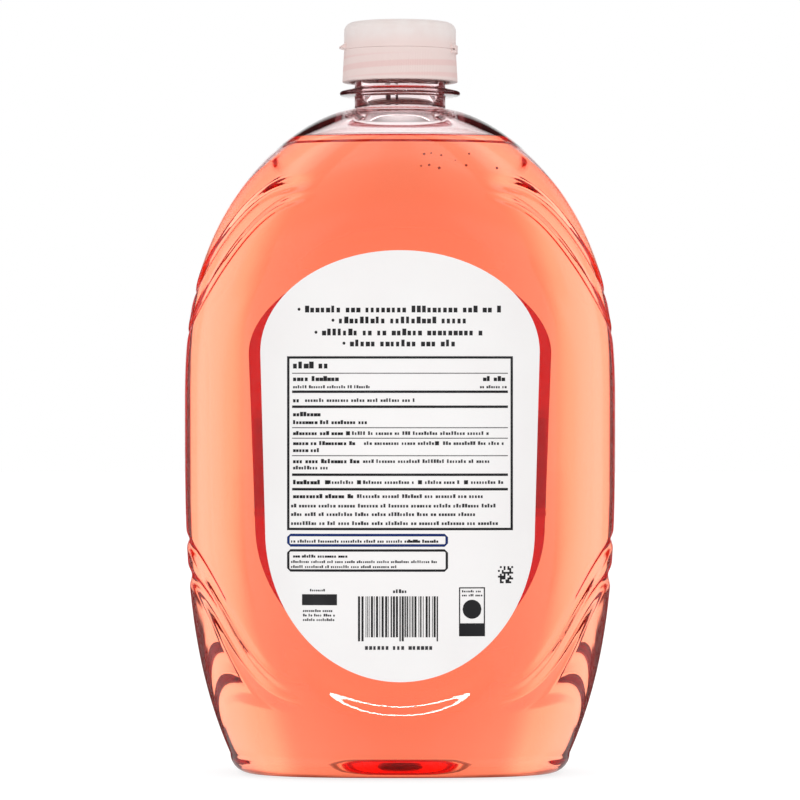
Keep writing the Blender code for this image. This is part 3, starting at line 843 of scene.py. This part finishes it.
def make_label(side, name, node, look):
    """A film label on its panel, side being -1 for the back and 1 for the front."""
    rings = []
    for i in range(LABEL_COLUMNS + 1):
        across = -side * math.cos(math.pi * i / LABEL_COLUMNS)
        arch = math.sqrt(max(1 - across**2, 0.0))
        low, high = LABEL_FOOT - LABEL_BOTTOM_ARCH * arch, LABEL_HEAD + LABEL_TOP_ARCH * arch
        heights = [low + (high - low) * j / LABEL_ROWS for j in range(LABEL_ROWS + 1)]
        ring = []
        for off, rows in ((LABEL_OFF + LABEL_THICKNESS, heights), (LABEL_OFF, heights[::-1])):
            for z in rows:
                x = label_half(z) * across
                ring.append(Vector((x, side * (panel_depth(x) + off), z)))
        rings.append(ring)
    label = loft(name, rings, look, "bottle")
    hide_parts(node)


class Ink:
    """Printed shapes of one colour on a label, side being -1 for the back and 1 for the front."""

    def __init__(self, side, layer=1):
        self.side = side
        self.off = LABEL_OFF + LABEL_THICKNESS + INK_OFF * layer
        self.points = []
        self.faces = []

    def shape(self, corners):
        """A flat shape with its corners anticlockwise as the reader sees them."""
        start = len(self.points)
        for across, down in corners:
            x = -self.side * across * INK_UNIT
            z = LABEL_TOP - down * INK_UNIT
            self.points.append((x, self.side * (panel_depth(x) + self.off), z))
        self.faces.append(tuple(range(start, start + len(corners))))

    def bar(self, left, right, top, bottom):
        """A rectangle, in strips narrow enough to follow the label's curve."""
        strips = max(math.ceil((right - left) / INK_STRIP), 1)
        for k in range(strips):
            a = left + (right - left) * k / strips
            b = left + (right - left) * (k + 1) / strips
            self.shape([(a, bottom), (b, bottom), (b, top), (a, top)])

    def frame(self, left, right, top, bottom, line, cut=0.0):
        """A frame of lines, with its corners cut off if a cut is given."""
        self.bar(left + cut, right - cut, top, top + line)
        self.bar(left + cut, right - cut, bottom - line, bottom)
        self.bar(left, left + line, top + cut, bottom - cut)
        self.bar(right - line, right, top + cut, bottom - cut)
        if cut:
            for x, turn in ((left, 1), (right, -1)):
                for y, down in ((top, 1), (bottom, -1)):
                    corners = [(x, y + cut * down), (x + line * turn, y + cut * down)]
                    corners += [(x + cut * turn, y + line * down), (x + cut * turn, y)]
                    self.shape(corners if turn == down else corners[::-1])

    def disc(self, across, down, radius, count=24):
        """A round spot, as a fan of strips."""
        for k in range(count):
            a = -radius + 2 * radius * k / count
            b = -radius + 2 * radius * (k + 1) / count
            high_a, high_b = (math.sqrt(max(radius**2 - v**2, 0.0)) for v in (a, b))
            low = [(across + a, down + high_a), (across + b, down + high_b)]
            self.shape(low + [(across + b, down - high_b), (across + a, down - high_a)])

    def words(self, left, right, middle, height, dice, weight=0.72):
        """A line of greeked print: small blocks in groups as long as words."""
        pitch = height * BLOCK_PITCH
        at = left
        while at < right - pitch:
            for block in range(dice.randint(2, 9)):
                if at > right - pitch:
                    break
                wide = pitch * weight * dice.uniform(0.75, 1.15)
                tall = height * dice.choice(BLOCK_HEIGHTS)
                base = middle + height * BLOCK_DROP
                self.bar(at, at + wide, base - tall, base)
                at += pitch
            at += pitch * WORD_SPACE

    def print(self, name, look, slot):
        """The shapes as one piece on the bottle."""
        piece = mesh_object(name, self.points, self.faces, look, "bottle")


# The back label's layout: headlines as (left, right, middle), rows as (left, right, middle,
# height), lines as (middle, thickness) and spots as (across, middle)
HEADLINES = ((-103, 105, 59), (-69, 70, 70), (-86, 88, 82), (-58, 59, 93))
BOLD_ROWS = (
    (-107, -66, 115, 9.6), (-107, -57, 128.5, 7.0), (83, 108, 128.5, 7.0), (-107, -96, 150, 6.2),
    (-107, -79, 164, 6.2), (-107, -30, 172, 5.5), (-107, -56, 183, 5.5), (-107, -44, 193, 5.5),
    (-107, -78, 200, 5.5), (-107, -39, 211, 5.9), (-107, -76, 232, 6.2), (-107, -45, 246, 5.9),
    (-107, -50, 306, 4.2), (8, 40, 291, 4.4),
)
LIGHT_ROWS = (
    (-107, -28, 136.6, 4.2), (80, 108, 136.6, 4.2), (-95, 17, 150, 5.0), (-48, 90, 183, 5.0),
    (-36, 35, 193, 5.0), (43, 105, 193, 5.0), (-37, 93, 211, 5.0), (-71, -44, 232, 5.0),
    (-37, 15, 232, 5.0), (25, 62, 232, 5.0), (71, 104, 232, 5.0), (-43, 86, 246, 5.2),
    (-109, 99, 255.5, 5.2), (-109, 76, 264, 5.2), (-109, 100, 273, 5.2), (-109, 39, 291, 4.2),
    (-109, 39, 311.5, 3.7), (-109, -1, 316.5, 3.7), (-7, 10, 341, 5.2), (-35, 38, 397, 7.4),
    (-107, -70, 217.5, 5.0),
)
TABLE_LINES = (
    (123, 0.8), (141.5, 2.5), (156.5, 2.5), (177.5, 0.8), (188, 0.8), (205.5, 0.8),
    (224.5, 2.5), (239, 2.5),
)
TABLE_SPOTS = ((-52, 183), (37, 193), (-73, 232), (-41, 232), (20, 232), (66, 232))


def print_cells(ink, dice, left, top, columns=8, rows=9, cell=1.9, share=0.55):
    """A small square field of cells, a share of them filled at random."""
    for row in range(rows):
        for column in range(columns):
            if dice.random() < share:
                x, y = left + column * cell, top + row * cell
                ink.bar(x, x + cell, y, y + cell)


def print_bars(ink, dice, left, right, top, bottom, guard=4):
    """Upright bars of random widths and spaces, of which the outer and middle ones are longer."""
    at = left
    while at < right:
        wide = dice.choice((0.7, 0.7, 1.4, 2.1))
        long = abs(at) > 36 or abs(at) < 2
        ink.bar(at, at + wide, top, bottom + guard if long else bottom)
        at += wide + dice.choice((0.7, 0.9, 1.4, 2.0))


def print_back_label(looks):
    """The back label's print as greeked lines, frames and bars in the photograph's layout."""
    dice = random.Random(7)
    black, grey, blue = Ink(-1), Ink(-1), Ink(-1)
    for left, right, middle in HEADLINES:
        black.disc(left + 2, middle, 1.5, 8)
        black.words(left + 8, right, middle, 9.4, dice, 0.70)
    for left, right, middle, height in BOLD_ROWS:
        black.words(left, right, middle, height, dice, 0.85)
    for left, right, middle, height in LIGHT_ROWS:
        grey.words(left, right, middle, height, dice)
    black.frame(-113, 113, 106, 280, 2.4)
    for middle, thick in TABLE_LINES:
        black.bar(-108, 108, middle - thick / 2, middle + thick / 2)
    for across, middle in TABLE_SPOTS:
        black.bar(across - 2, across + 2, middle - 2, middle + 2)
    blue.frame(-113, 48, 283.5, 296.5, 2.6, 3.4)
    black.frame(-113, 48, 299, 321.5, 2.4, 3.4)
    print_cells(black, dice, 98, 316)
    black.words(-90, -72, 340, 3.4, dice)
    black.bar(-98, -63, 344, 355)
    for middle in (360.5, 365, 369.5):
        black.words(-97, -64, middle, 3.6, dice)
    print_bars(black, dice, -42.0, 37, 346, 387)
    black.frame(59, 85, 337, 386, 1.2)
    black.bar(59, 85, 373, 386)
    for middle in (341, 345):
        black.words(62, 83, middle, 3.2, dice)
    black.disc(72, 359, 9.5)
    for colour, ink in (("black", black), ("grey", grey), ("blue", blue)):
        ink.print(f"back_label_{colour}_print", looks[colour], "white_film")


# The front label's spots as (across, down, radius)
FRONT_SPOTS = (
    (-62, 96, 15), (-28, 60, 9), (24, 84, 18), (66, 112, 11), (-8, 118, 7), (-84, 140, 8), (52, 52, 6),
    (-70, 318, 10), (-30, 352, 16), (30, 330, 9), (74, 300, 13), (12, 386, 8), (58, 366, 6),
)


def print_front_label(looks):
    """A plain design in the front label's red: a pale band with greeked lines, and round spots."""
    dice = random.Random(11)
    pale, bright, deep = Ink(1), Ink(1), Ink(1, 2)
    for across, down, radius in FRONT_SPOTS:
        bright.disc(across, down, radius)
    pale.bar(-136, 136, 168, 262)
    bright.bar(-136, 136, 160, 165)
    bright.bar(-136, 136, 265, 270)
    for half, middle, height in ((92, 192, 30), (70, 220, 13), (56, 240, 9)):
        deep.words(-half, half, middle, height, dice, 0.8)
    pale.print("front_label_pale_band", looks["pale"], "red_film")
    bright.print("front_label_spots", looks["bright"], "red_film")
    deep.print("front_label_print", looks["deep"], "red_film")


def ribbed(radius, height, angle):
    """Fine upright ribs on the outside of the skirt."""
    on_skirt = radius > SKIRT_BORE_RADIUS + LIP_ROUND * 2
    if not on_skirt or not SKIRT_BOTTOM + RIBS_ABOVE_LIP < height < DECK_TOP - RIBS_BELOW_DECK:
        return 0.0
    return -RIB_DEPTH * (0.5 + 0.5 * math.cos(angle * RIBS))


def make_leaf(name, heights, look, body):
    """A hinge leaf, from the heights of its section's corners: root, axis, axis, root."""
    section = list(zip((LEAF_ROOT, HINGE_AXIS_X, HINGE_AXIS_X, LEAF_ROOT), heights))
    sweep(name, section, 0, HINGE_HALF_ANGLE, look, body)


def make_cap(look):
    """The screwed closure: ribbed skirt, deck, plug seal, pouring spout, snap bead, hinge leaf."""
    seal_radius = NECK_BORE_RADIUS - GAP
    spout_radius = ORIFICE_RADIUS + SPOUT_WALL
    spout_top = DECK_TOP + SPOUT_HEIGHT
    bead_radius = CAP_TOP_RADIUS - LID_WALL - GAP
    round_over = SPOUT_WALL / 2
    foot_radius = CAP_TOP_RADIUS + CAP_FLARE
    profile = arc(foot_radius - LIP_ROUND, SKIRT_BOTTOM + LIP_ROUND, LIP_ROUND, 270, 360, 4)
    low, high = SKIRT_BOTTOM + SKIRT_EASE, DECK_TOP - SKIRT_EASE
    for step in range(SKIRT_ROWS + 1):
        height = low + (high - low) * step / SKIRT_ROWS
        share = (height - SKIRT_BOTTOM) / (DECK_TOP - SKIRT_BOTTOM)
        profile.append((foot_radius - CAP_FLARE * share, height))
    profile += arc(CAP_TOP_RADIUS - FINE_ROUND, DECK_TOP - FINE_ROUND, FINE_ROUND, 0, 90, 4)
    profile.append((bead_radius, DECK_TOP))
    bead_top = DECK_TOP + SNAP_BEAD_HEIGHT
    profile += arc(bead_radius - LIP_ROUND, bead_top - LIP_ROUND, LIP_ROUND, 0, 90, 4)
    inner_bead = bead_radius - SNAP_BEAD_WIDTH
    profile += arc(inner_bead + LIP_ROUND, bead_top - LIP_ROUND, LIP_ROUND, 90, 180, 4)
    profile += [(inner_bead, DECK_TOP), (spout_radius + LIP_ROUND, DECK_TOP)]
    profile.append((spout_radius, DECK_TOP + LIP_ROUND))
    profile += arc(spout_radius - round_over, spout_top - round_over, round_over, 0, 180, 12)
    profile += [
        (ORIFICE_RADIUS, DECK_BOTTOM),
        (seal_radius - SEAL_WALL, DECK_BOTTOM),
        (seal_radius - SEAL_WALL, DECK_BOTTOM - SEAL_LENGTH),
        (seal_radius - SEAL_WALL / 3, DECK_BOTTOM - SEAL_LENGTH),
        (seal_radius, DECK_BOTTOM - SEAL_LENGTH * 0.7),
        (seal_radius, DECK_BOTTOM),
        (SKIRT_BORE_RADIUS, DECK_BOTTOM),
        (SKIRT_BORE_RADIUS, SKIRT_BOTTOM + LIP_ROUND),
        (SKIRT_BORE_RADIUS + LIP_ROUND, SKIRT_BOTTOM),
    ]
    cap = turn_profile("screw_cap", profile, look, "cap", RIBS * 4, ribbed)
    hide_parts("cap")
    top = DECK_TOP - GAP
    heights = (DECK_TOP - HINGE_HEIGHT, DECK_TOP - HINGE_HEIGHT / 2, top, top)
    make_leaf("cap_hinge_leaf", heights, look, "cap")


def make_lid(look):
    """The flip lid: a shallow dome with a plug for the spout, a thumb tab and a hinge leaf."""
    inner_radius = CAP_TOP_RADIUS - LID_WALL
    ceiling = LID_TOP - LID_WALL
    plug_radius = ORIFICE_RADIUS - GAP
    plug_bottom = DECK_TOP + SPOUT_HEIGHT - PLUG_DEPTH
    inner_round = LID_ROUND - LID_WALL
    lip = DECK_TOP + LIP_GAP
    profile = arc(CAP_TOP_RADIUS - FINE_ROUND, lip + FINE_ROUND, FINE_ROUND, 270, 360, 4)
    profile += arc(CAP_TOP_RADIUS - LID_ROUND, LID_TOP - LID_ROUND, LID_ROUND, 0, 90, 12)
    profile += [
        (ON_AXIS, LID_TOP),
        (ON_AXIS, ceiling),
        (plug_radius - PLUG_WALL, ceiling),
        (plug_radius - PLUG_WALL, plug_bottom),
        (plug_radius - PLUG_WALL / 2, plug_bottom),
        (plug_radius, plug_bottom + PLUG_WALL / 2),
        (plug_radius, ceiling),
    ]
    profile += arc(inner_radius - inner_round, ceiling - inner_round, inner_round, 90, 0, 8)
    profile.append((inner_radius, lip))
    lid = turn_profile("flip_lid_shell", profile, look, "lid")
    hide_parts("flip_lid")
    root = CAP_TOP_RADIUS - LID_WALL / 2
    tip = CAP_TOP_RADIUS + TAB_REACH - TAB_ROUND
    tab = [(root, LID_BOTTOM)]
    tab += arc(tip, LID_BOTTOM + TAB_HEIGHT * 0.42, TAB_ROUND, 270, 450, 6)
    tab.append((root, LID_BOTTOM + TAB_HEIGHT * 1.5))
    sweep("lid_thumb_tab", tab, 180, TAB_HALF_ANGLE, look, "lid")
    heights = [LID_BOTTOM + HINGE_HEIGHT * share for share in (0, 0, 0.5, 1)]
    make_leaf("lid_hinge_leaf", heights, look, "lid")


def make_strap(look):
    """The film hinge between the two leaves."""
    low, high = DECK_TOP - HINGE_HEIGHT / 2, LID_BOTTOM + HINGE_HEIGHT / 2
    rows = [low + (high - low) * k / STRAP_ROWS for k in range(STRAP_ROWS + 1)]
    outer = HINGE_AXIS_X + STRAP_THICKNESS / 2
    profile = [(outer, z) for z in rows] + [(outer - STRAP_THICKNESS, z) for z in rows[::-1]]
    strap = sweep("film_hinge", profile, 0, HINGE_HALF_ANGLE * STRAP_SHARE, look)
    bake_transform(strap)


# The lugs on the neck as (across, width) in metres, and a lug's profile as (radius, height) from
# the neck's wall and the ledge's top. Bubbles as (across, down, radius): places in the photograph
# from its middle column and top row, and radii in millimetres.
LUGS = ((-0.0045, 0.0016), (-0.0012, 0.0009))
LUG_PROFILE = ((-0.0003, -0.0004), (0.0016, -0.0006), (0.0012, 0.0017), (-0.0003, 0.0017))
BUBBLES = (
    (24, 154, 0.41), (31, 153, 0.29), (41, 155, 0.36), (21, 166, 0.31), (29, 165, 0.41),
    (39, 168, 0.48), (69, 153, 0.36), (66, 165, 0.43), (97, 167, 0.50), (55, 160, 0.24),
)


def make_lugs(look):
    """The two small lugs that stand on the neck's ledge on the front label's side."""
    for number, (x, width) in enumerate(LUGS, 1):
        half = math.degrees(width / 2 / NECK_RADIUS)
        middle = 90 - math.degrees(x / NECK_RADIUS)
        profile = [(NECK_RADIUS + out, LEDGE_TOP + up) for out, up in LUG_PROFILE]
        sweep(f"neck_lug_{number}", profile, middle, half, look, "bottle", 4)


def make_bubbles(look):
    """Small air bubbles held under the surface of the fill, near the back wall."""
    for number, (across, down, radius) in enumerate(BUBBLES, 1):
        x, z = across * INK_UNIT, CAMERA_HEIGHT + (400 - down) * INK_UNIT
        round_off = (1 - abs(x / half_width(z)) ** SQUARENESS) ** (1 / SQUARENESS)
        place = (x, BUBBLE_INSET - half_depth(z) * round_off, z)
        mesh = bpy.data.meshes.new(f"bubble_{number}")
        ball = bmesh.new()
        bmesh.ops.create_icosphere(ball, subdivisions=3, radius=radius / 1000)
        bmesh.ops.translate(ball, vec=place, verts=ball.verts)
        ball.to_mesh(mesh)
        ball.free()
        mesh.shade_smooth()
        mesh.materials.append(look)
        bubble = add_object(f"bubble_{number}", mesh)
        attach(bubble, "bottle")


# Studio: brightness by angle, as stops of (degrees, brightness). The angle is off the straight
# line through the pack for what is seen through it, off the way ahead for what gloss mirrors, and
# the elevation for the panels above. Gaps darker than GAP_LEVEL are tinted by the soap.
STUDIO_PEAK = 2.2
SEEN_THROUGH = ((0, 1.28), (8, 1.4), (16, 2.2), (41, 2.2), (45, 0.09), (64, 0.09), (70, 1.0), (90, 1.1))
MIRRORED = ((0, 1.0), (11, 1.0), (17, 0.17), (62, 0.17), (80, 0.5), (100, 0.5), (125, 0.1), (180, 0.1))
ABOVE = ((-90, 1.0), (20, 1.0), (30, 0.35), (44, 0.35), (54, 1.3), (90, 1.3))
MIRRORED_TOP = (14.0, 26.0, 1.0, 0.8)
GAP_TINT = 0.25
GAP_LEVEL = 0.2
SOFT_LIGHT = 0.84
SOFT_LIGHT_AHEAD = 0.36
NEAR_FLOOR = ((0, 1.28), (8, 1.4), (16, 1.9), (41, 1.9), (60, 1.3), (90, 1.1))
# Painted light: the soap's coral light, painted on the floor under the bottle
SOAP_LIGHT_POOL = (1.0, 0.30, 0.24)

# The floor's parts, in times the bottle's foot: its footprint ends, and the far floor starts
FOOTPRINT = (0.95, 1.5)
FAR_FLOOR = (6.0, 30.0)
FLOOR_GLOW = 0.79
FLOOR_GREY = 0.35
FLOOR_REACH = 6.0
FLOOR_DROP = 0.0004

# Walls that light has passed when it comes straight through the bottle alone, and through the
# soap too: light with fewer was mirrored inside a wall. Half a wall is taken off each count.
WALLS_OF_BOTTLE = 3.5
WALLS_OF_SOAP = 5.5
BEHIND_SHARE = 0.4


def band(tree, value, stops):
    """Light of a brightness read from stops of (value, brightness); the dark gaps are tinted."""
    low, high = stops[0][0], stops[-1][0]
    share = calc(tree, "DIVIDE", calc(tree, "SUBTRACT", value, low), high - low)
    colours = []
    for place, level in stops:
        other = level * (GAP_TINT if level < GAP_LEVEL else 1.0)
        colour = [part / STUDIO_PEAK for part in (level, other, other)]
        colours.append(((place - low) / (high - low), colour))
    return scaled(tree, ramp(tree, share, colours, "EASE"), STUDIO_PEAK)


def studio_light(tree, x, y, path):
    """What gloss shows in a direction, the share of what lies straight behind the pack in what
    its clear plastic shows, and how far the direction is off the line through the pack."""
    sideways = calc(tree, "ABSOLUTE", x)
    folded = calc(tree, "DEGREES", calc(tree, "ARCTAN2", sideways, calc(tree, "ABSOLUTE", y)))
    turned = calc(tree, "DEGREES", calc(tree, "ARCTAN2", sideways, y))
    walls = path["Transmission Depth"]
    ahead = eased(tree, turned, 80.0, 100.0, 1.0, BEHIND_SHARE)
    some = calc(tree, "MULTIPLY", calc(tree, "GREATER_THAN", walls, WALLS_OF_BOTTLE), ahead)
    share = calc(tree, "MAXIMUM", some, calc(tree, "GREATER_THAN", walls, WALLS_OF_SOAP))
    return band(tree, turned, MIRRORED), share, folded


def by_ray(tree, path, plain, mirrored, share, through):
    """Light by the kind of ray: plain for matt surfaces, mirrored for gloss, and a mix for clear
    plastic of what is mirrored in it and what is seen through it."""
    light = mixed_colour(tree, path["Is Glossy Ray"], plain, mirrored)
    clear = mixed_colour(tree, share, mirrored, through)
    return mixed_colour(tree, path["Is Transmission Ray"], light, clear)


def set_world():
    """White for the camera and soft light for matt surfaces. Through clear plastic and in its
    gloss it shows light panels with dark gaps between them, as studios light bottles."""
    world = bpy.data.worlds.new("studio")
    bpy.context.scene.world = world
    world.use_nodes = True
    tree = world.node_tree
    x, y, z = parted(tree, tree.nodes.new("ShaderNodeTexCoord").outputs["Generated"])
    path = tree.nodes.new("ShaderNodeLightPath").outputs
    mirrored, share, folded = studio_light(tree, x, y, path)
    elevation = calc(tree, "DEGREES", calc(tree, "ARCSINE", z))
    mirrored = scaled(tree, mirrored, eased(tree, elevation, *MIRRORED_TOP))
    through = scaled(tree, band(tree, folded, SEEN_THROUGH), band(tree, elevation, ABOVE))
    ahead = calc(tree, "MULTIPLY", calc(tree, "MULTIPLY", y, y), SOFT_LIGHT_AHEAD)
    soft = calc(tree, "ADD", ahead, SOFT_LIGHT)
    light = by_ray(tree, path, soft, mirrored, share, through)
    light = mixed_colour(tree, path["Is Camera Ray"], light, (1, 1, 1))
    feed(tree, tree.nodes["Background"], Color=light, Strength=1.0)


def make_floor():
    """A white floor that keeps a faint shadow, with the soap's coral light painted on it under the
    bottle.
    """
    mesh = bpy.data.meshes.new("studio_floor")
    signs = ((-1, -1), (1, -1), (1, 1), (-1, 1))
    corners = [(a * FLOOR_REACH, b * FLOOR_REACH, -FLOOR_DROP) for a, b in signs]
    mesh.from_pydata(corners, [], [(0, 1, 2, 3)])
    floor = add_object("studio_floor", mesh)
    made, tree, shader = new_material(
        "white_floor", Base_Color=(FLOOR_GREY,) * 3, Roughness=0.9, Specular_IOR_Level=0.0,
        Emission_Color=(1, 1, 1), Emission_Strength=FLOOR_GLOW,
    )
    x, y = parted(tree, tree.nodes.new("ShaderNodeNewGeometry").outputs["Position"])[:2]
    path = tree.nodes.new("ShaderNodeLightPath").outputs
    mirrored, share, folded = studio_light(tree, x, y, path)
    across = calc(tree, "DIVIDE", x, half_width(HEEL_RADIUS))
    along = calc(tree, "DIVIDE", y, half_depth(HEEL_RADIUS))
    squares = [calc(tree, "MULTIPLY", value, value) for value in (across, along)]
    away = calc(tree, "SQRT", calc(tree, "ADD", *squares))
    around = band(tree, folded, NEAR_FLOOR)
    near = mixed_colour(tree, eased(tree, away, *FOOTPRINT), SOAP_LIGHT_POOL, around)
    far = band(tree, folded, SEEN_THROUGH)
    through = mixed_colour(tree, eased(tree, away, *FAR_FLOOR), near, far)
    light = by_ray(tree, path, (1, 1, 1), mirrored, share, through)
    glow = add_node(tree, "ShaderNodeEmission", Color=light)
    mixed_surface(tree, path["Is Camera Ray"], glow.outputs["Emission"], shader.outputs["BSDF"])
    mesh.materials.append(made)


def add_card(number, across, up, width, height):
    """A bright card behind the camera's side that only gloss shows."""
    data = bpy.data.lights.new(f"highlight_{number}", "AREA")
    data.shape = "RECTANGLE"
    data.size, data.size_y = width, height
    data.energy = CARD_RADIANCE * math.pi * width * height
    light = add_object(f"highlight_{number}", data)
    light.location = (across, -CARD_DISTANCE, up)
    towards = Vector((0, 0, CARD_AIM)) - light.location
    light.rotation_euler = towards.to_track_quat("-Z", "Y").to_euler()
    light.visible_camera = False
    light.visible_transmission = False
    light.visible_diffuse = False


def add_camera():
    """The photograph's view: level, from in front of the back label."""
    data = bpy.data.cameras.new("camera")
    data.sensor_width = SENSOR * 1000
    data.lens = SENSOR * 1000 / 2 / math.tan(HALF_VIEW)
    data.clip_end = CLIP_END
    camera = add_object("camera", data)
    camera.location = (0, -CAMERA_DISTANCE, CAMERA_HEIGHT)
    camera.rotation_euler = (math.pi / 2, 0, 0)
    bpy.context.scene.camera = camera


def main():
    scene = bpy.context.scene
    scene.view_settings.view_transform = "Standard"
    scene.cycles.max_bounces = LIGHT_BOUNCES
    scene.cycles.transmission_bounces = LIGHT_BOUNCES
    scene.cycles.glossy_bounces = LIGHT_BOUNCES
    set_world()
    make_floor()
    for number, card in enumerate(HIGHLIGHTS, 1):
        add_card(number, *card)
    add_camera()
    surface = body_surface()
    make_bottle(surface, clear_plastic())
    make_soap(surface, coral_liquid())
    paper = film("white_label_film", (0.975, 0.955, 0.95), (0.995, 0.985, 0.98), 0.4, 0.09)
    make_label(-1, "back_label_film", "back_label", paper)
    red = ((0.96, 0.05, 0.035), (1.0, 0.07, 0.048))
    backlit = mottled("red_label_film", 30.0, *red, 0.72, Roughness=0.4)
    make_label(1, "front_label_film", "front_label", backlit)
    inks = {
        "black": film("black_ink", (0.012, 0.012, 0.014), (0.03, 0.03, 0.033), 0.5, gloss=0.1),
        "grey": film("grey_ink", (0.03, 0.03, 0.035), (0.05, 0.05, 0.055), 0.5, gloss=0.1),
        "blue": film("blue_ink", (0.004, 0.020, 0.13), (0.010, 0.034, 0.17), 0.5, gloss=0.1),
        "pale": film("pale_ink", (0.90, 0.84, 0.80), (0.95, 0.90, 0.87), 0.35, 0.5),
        "bright": film("coral_ink", (0.93, 0.30, 0.20), (0.98, 0.38, 0.27), 0.35, 0.6),
        "deep": film("deep_red_ink", (0.50, 0.02, 0.02), (0.60, 0.035, 0.03), 0.35),
    }
    print_back_label(inks)
    print_front_label(inks)
    frosted = frosted_plastic()
    make_cap(frosted)
    make_lid(frosted)
    make_strap(frosted)
    # Painted shade: the clear lugs are coloured dark grey for the shade they show
    thick = half_clear("lug_polyester_painted_shade", 900.0, (0.10, 0.05, 0.06), (0.30, 0.20, 0.21), 0.08, 1.5, 0.4)
    make_lugs(thick)
    # Painted shade: the bubbles are coloured dark red for the dark rims they show in the soap
    air = half_clear("air_bubble_painted_shade", 1500.0, (0.35, 0.06, 0.05), (0.62, 0.16, 0.12), 0.05, 1.9, 0.6)
    make_bubbles(air)
    # Painted shade: a dark red line just under the fill's surface, at the meniscus
    rim = half_clear("painted_meniscus_shade", 260.0, (0.62, 0.04, 0.035), (0.86, 0.12, 0.09), 0.15, 1.04, 0.62)
    make_surface_line(surface, "painted_meniscus_shade_line", -0.0014, -0.0006, rim)
    # Painted highlight: a pale line just above the fill's surface, where the meniscus shines
    meniscus_highlight = half_clear("painted_meniscus_highlight", 260.0, (0.93, 0.82, 0.79), (1.0, 0.94, 0.93), 0.15, 1.04, 0.7)
    make_surface_line(surface, "painted_meniscus_highlight_line", 0.0013, 0.0017, meniscus_highlight)


main()
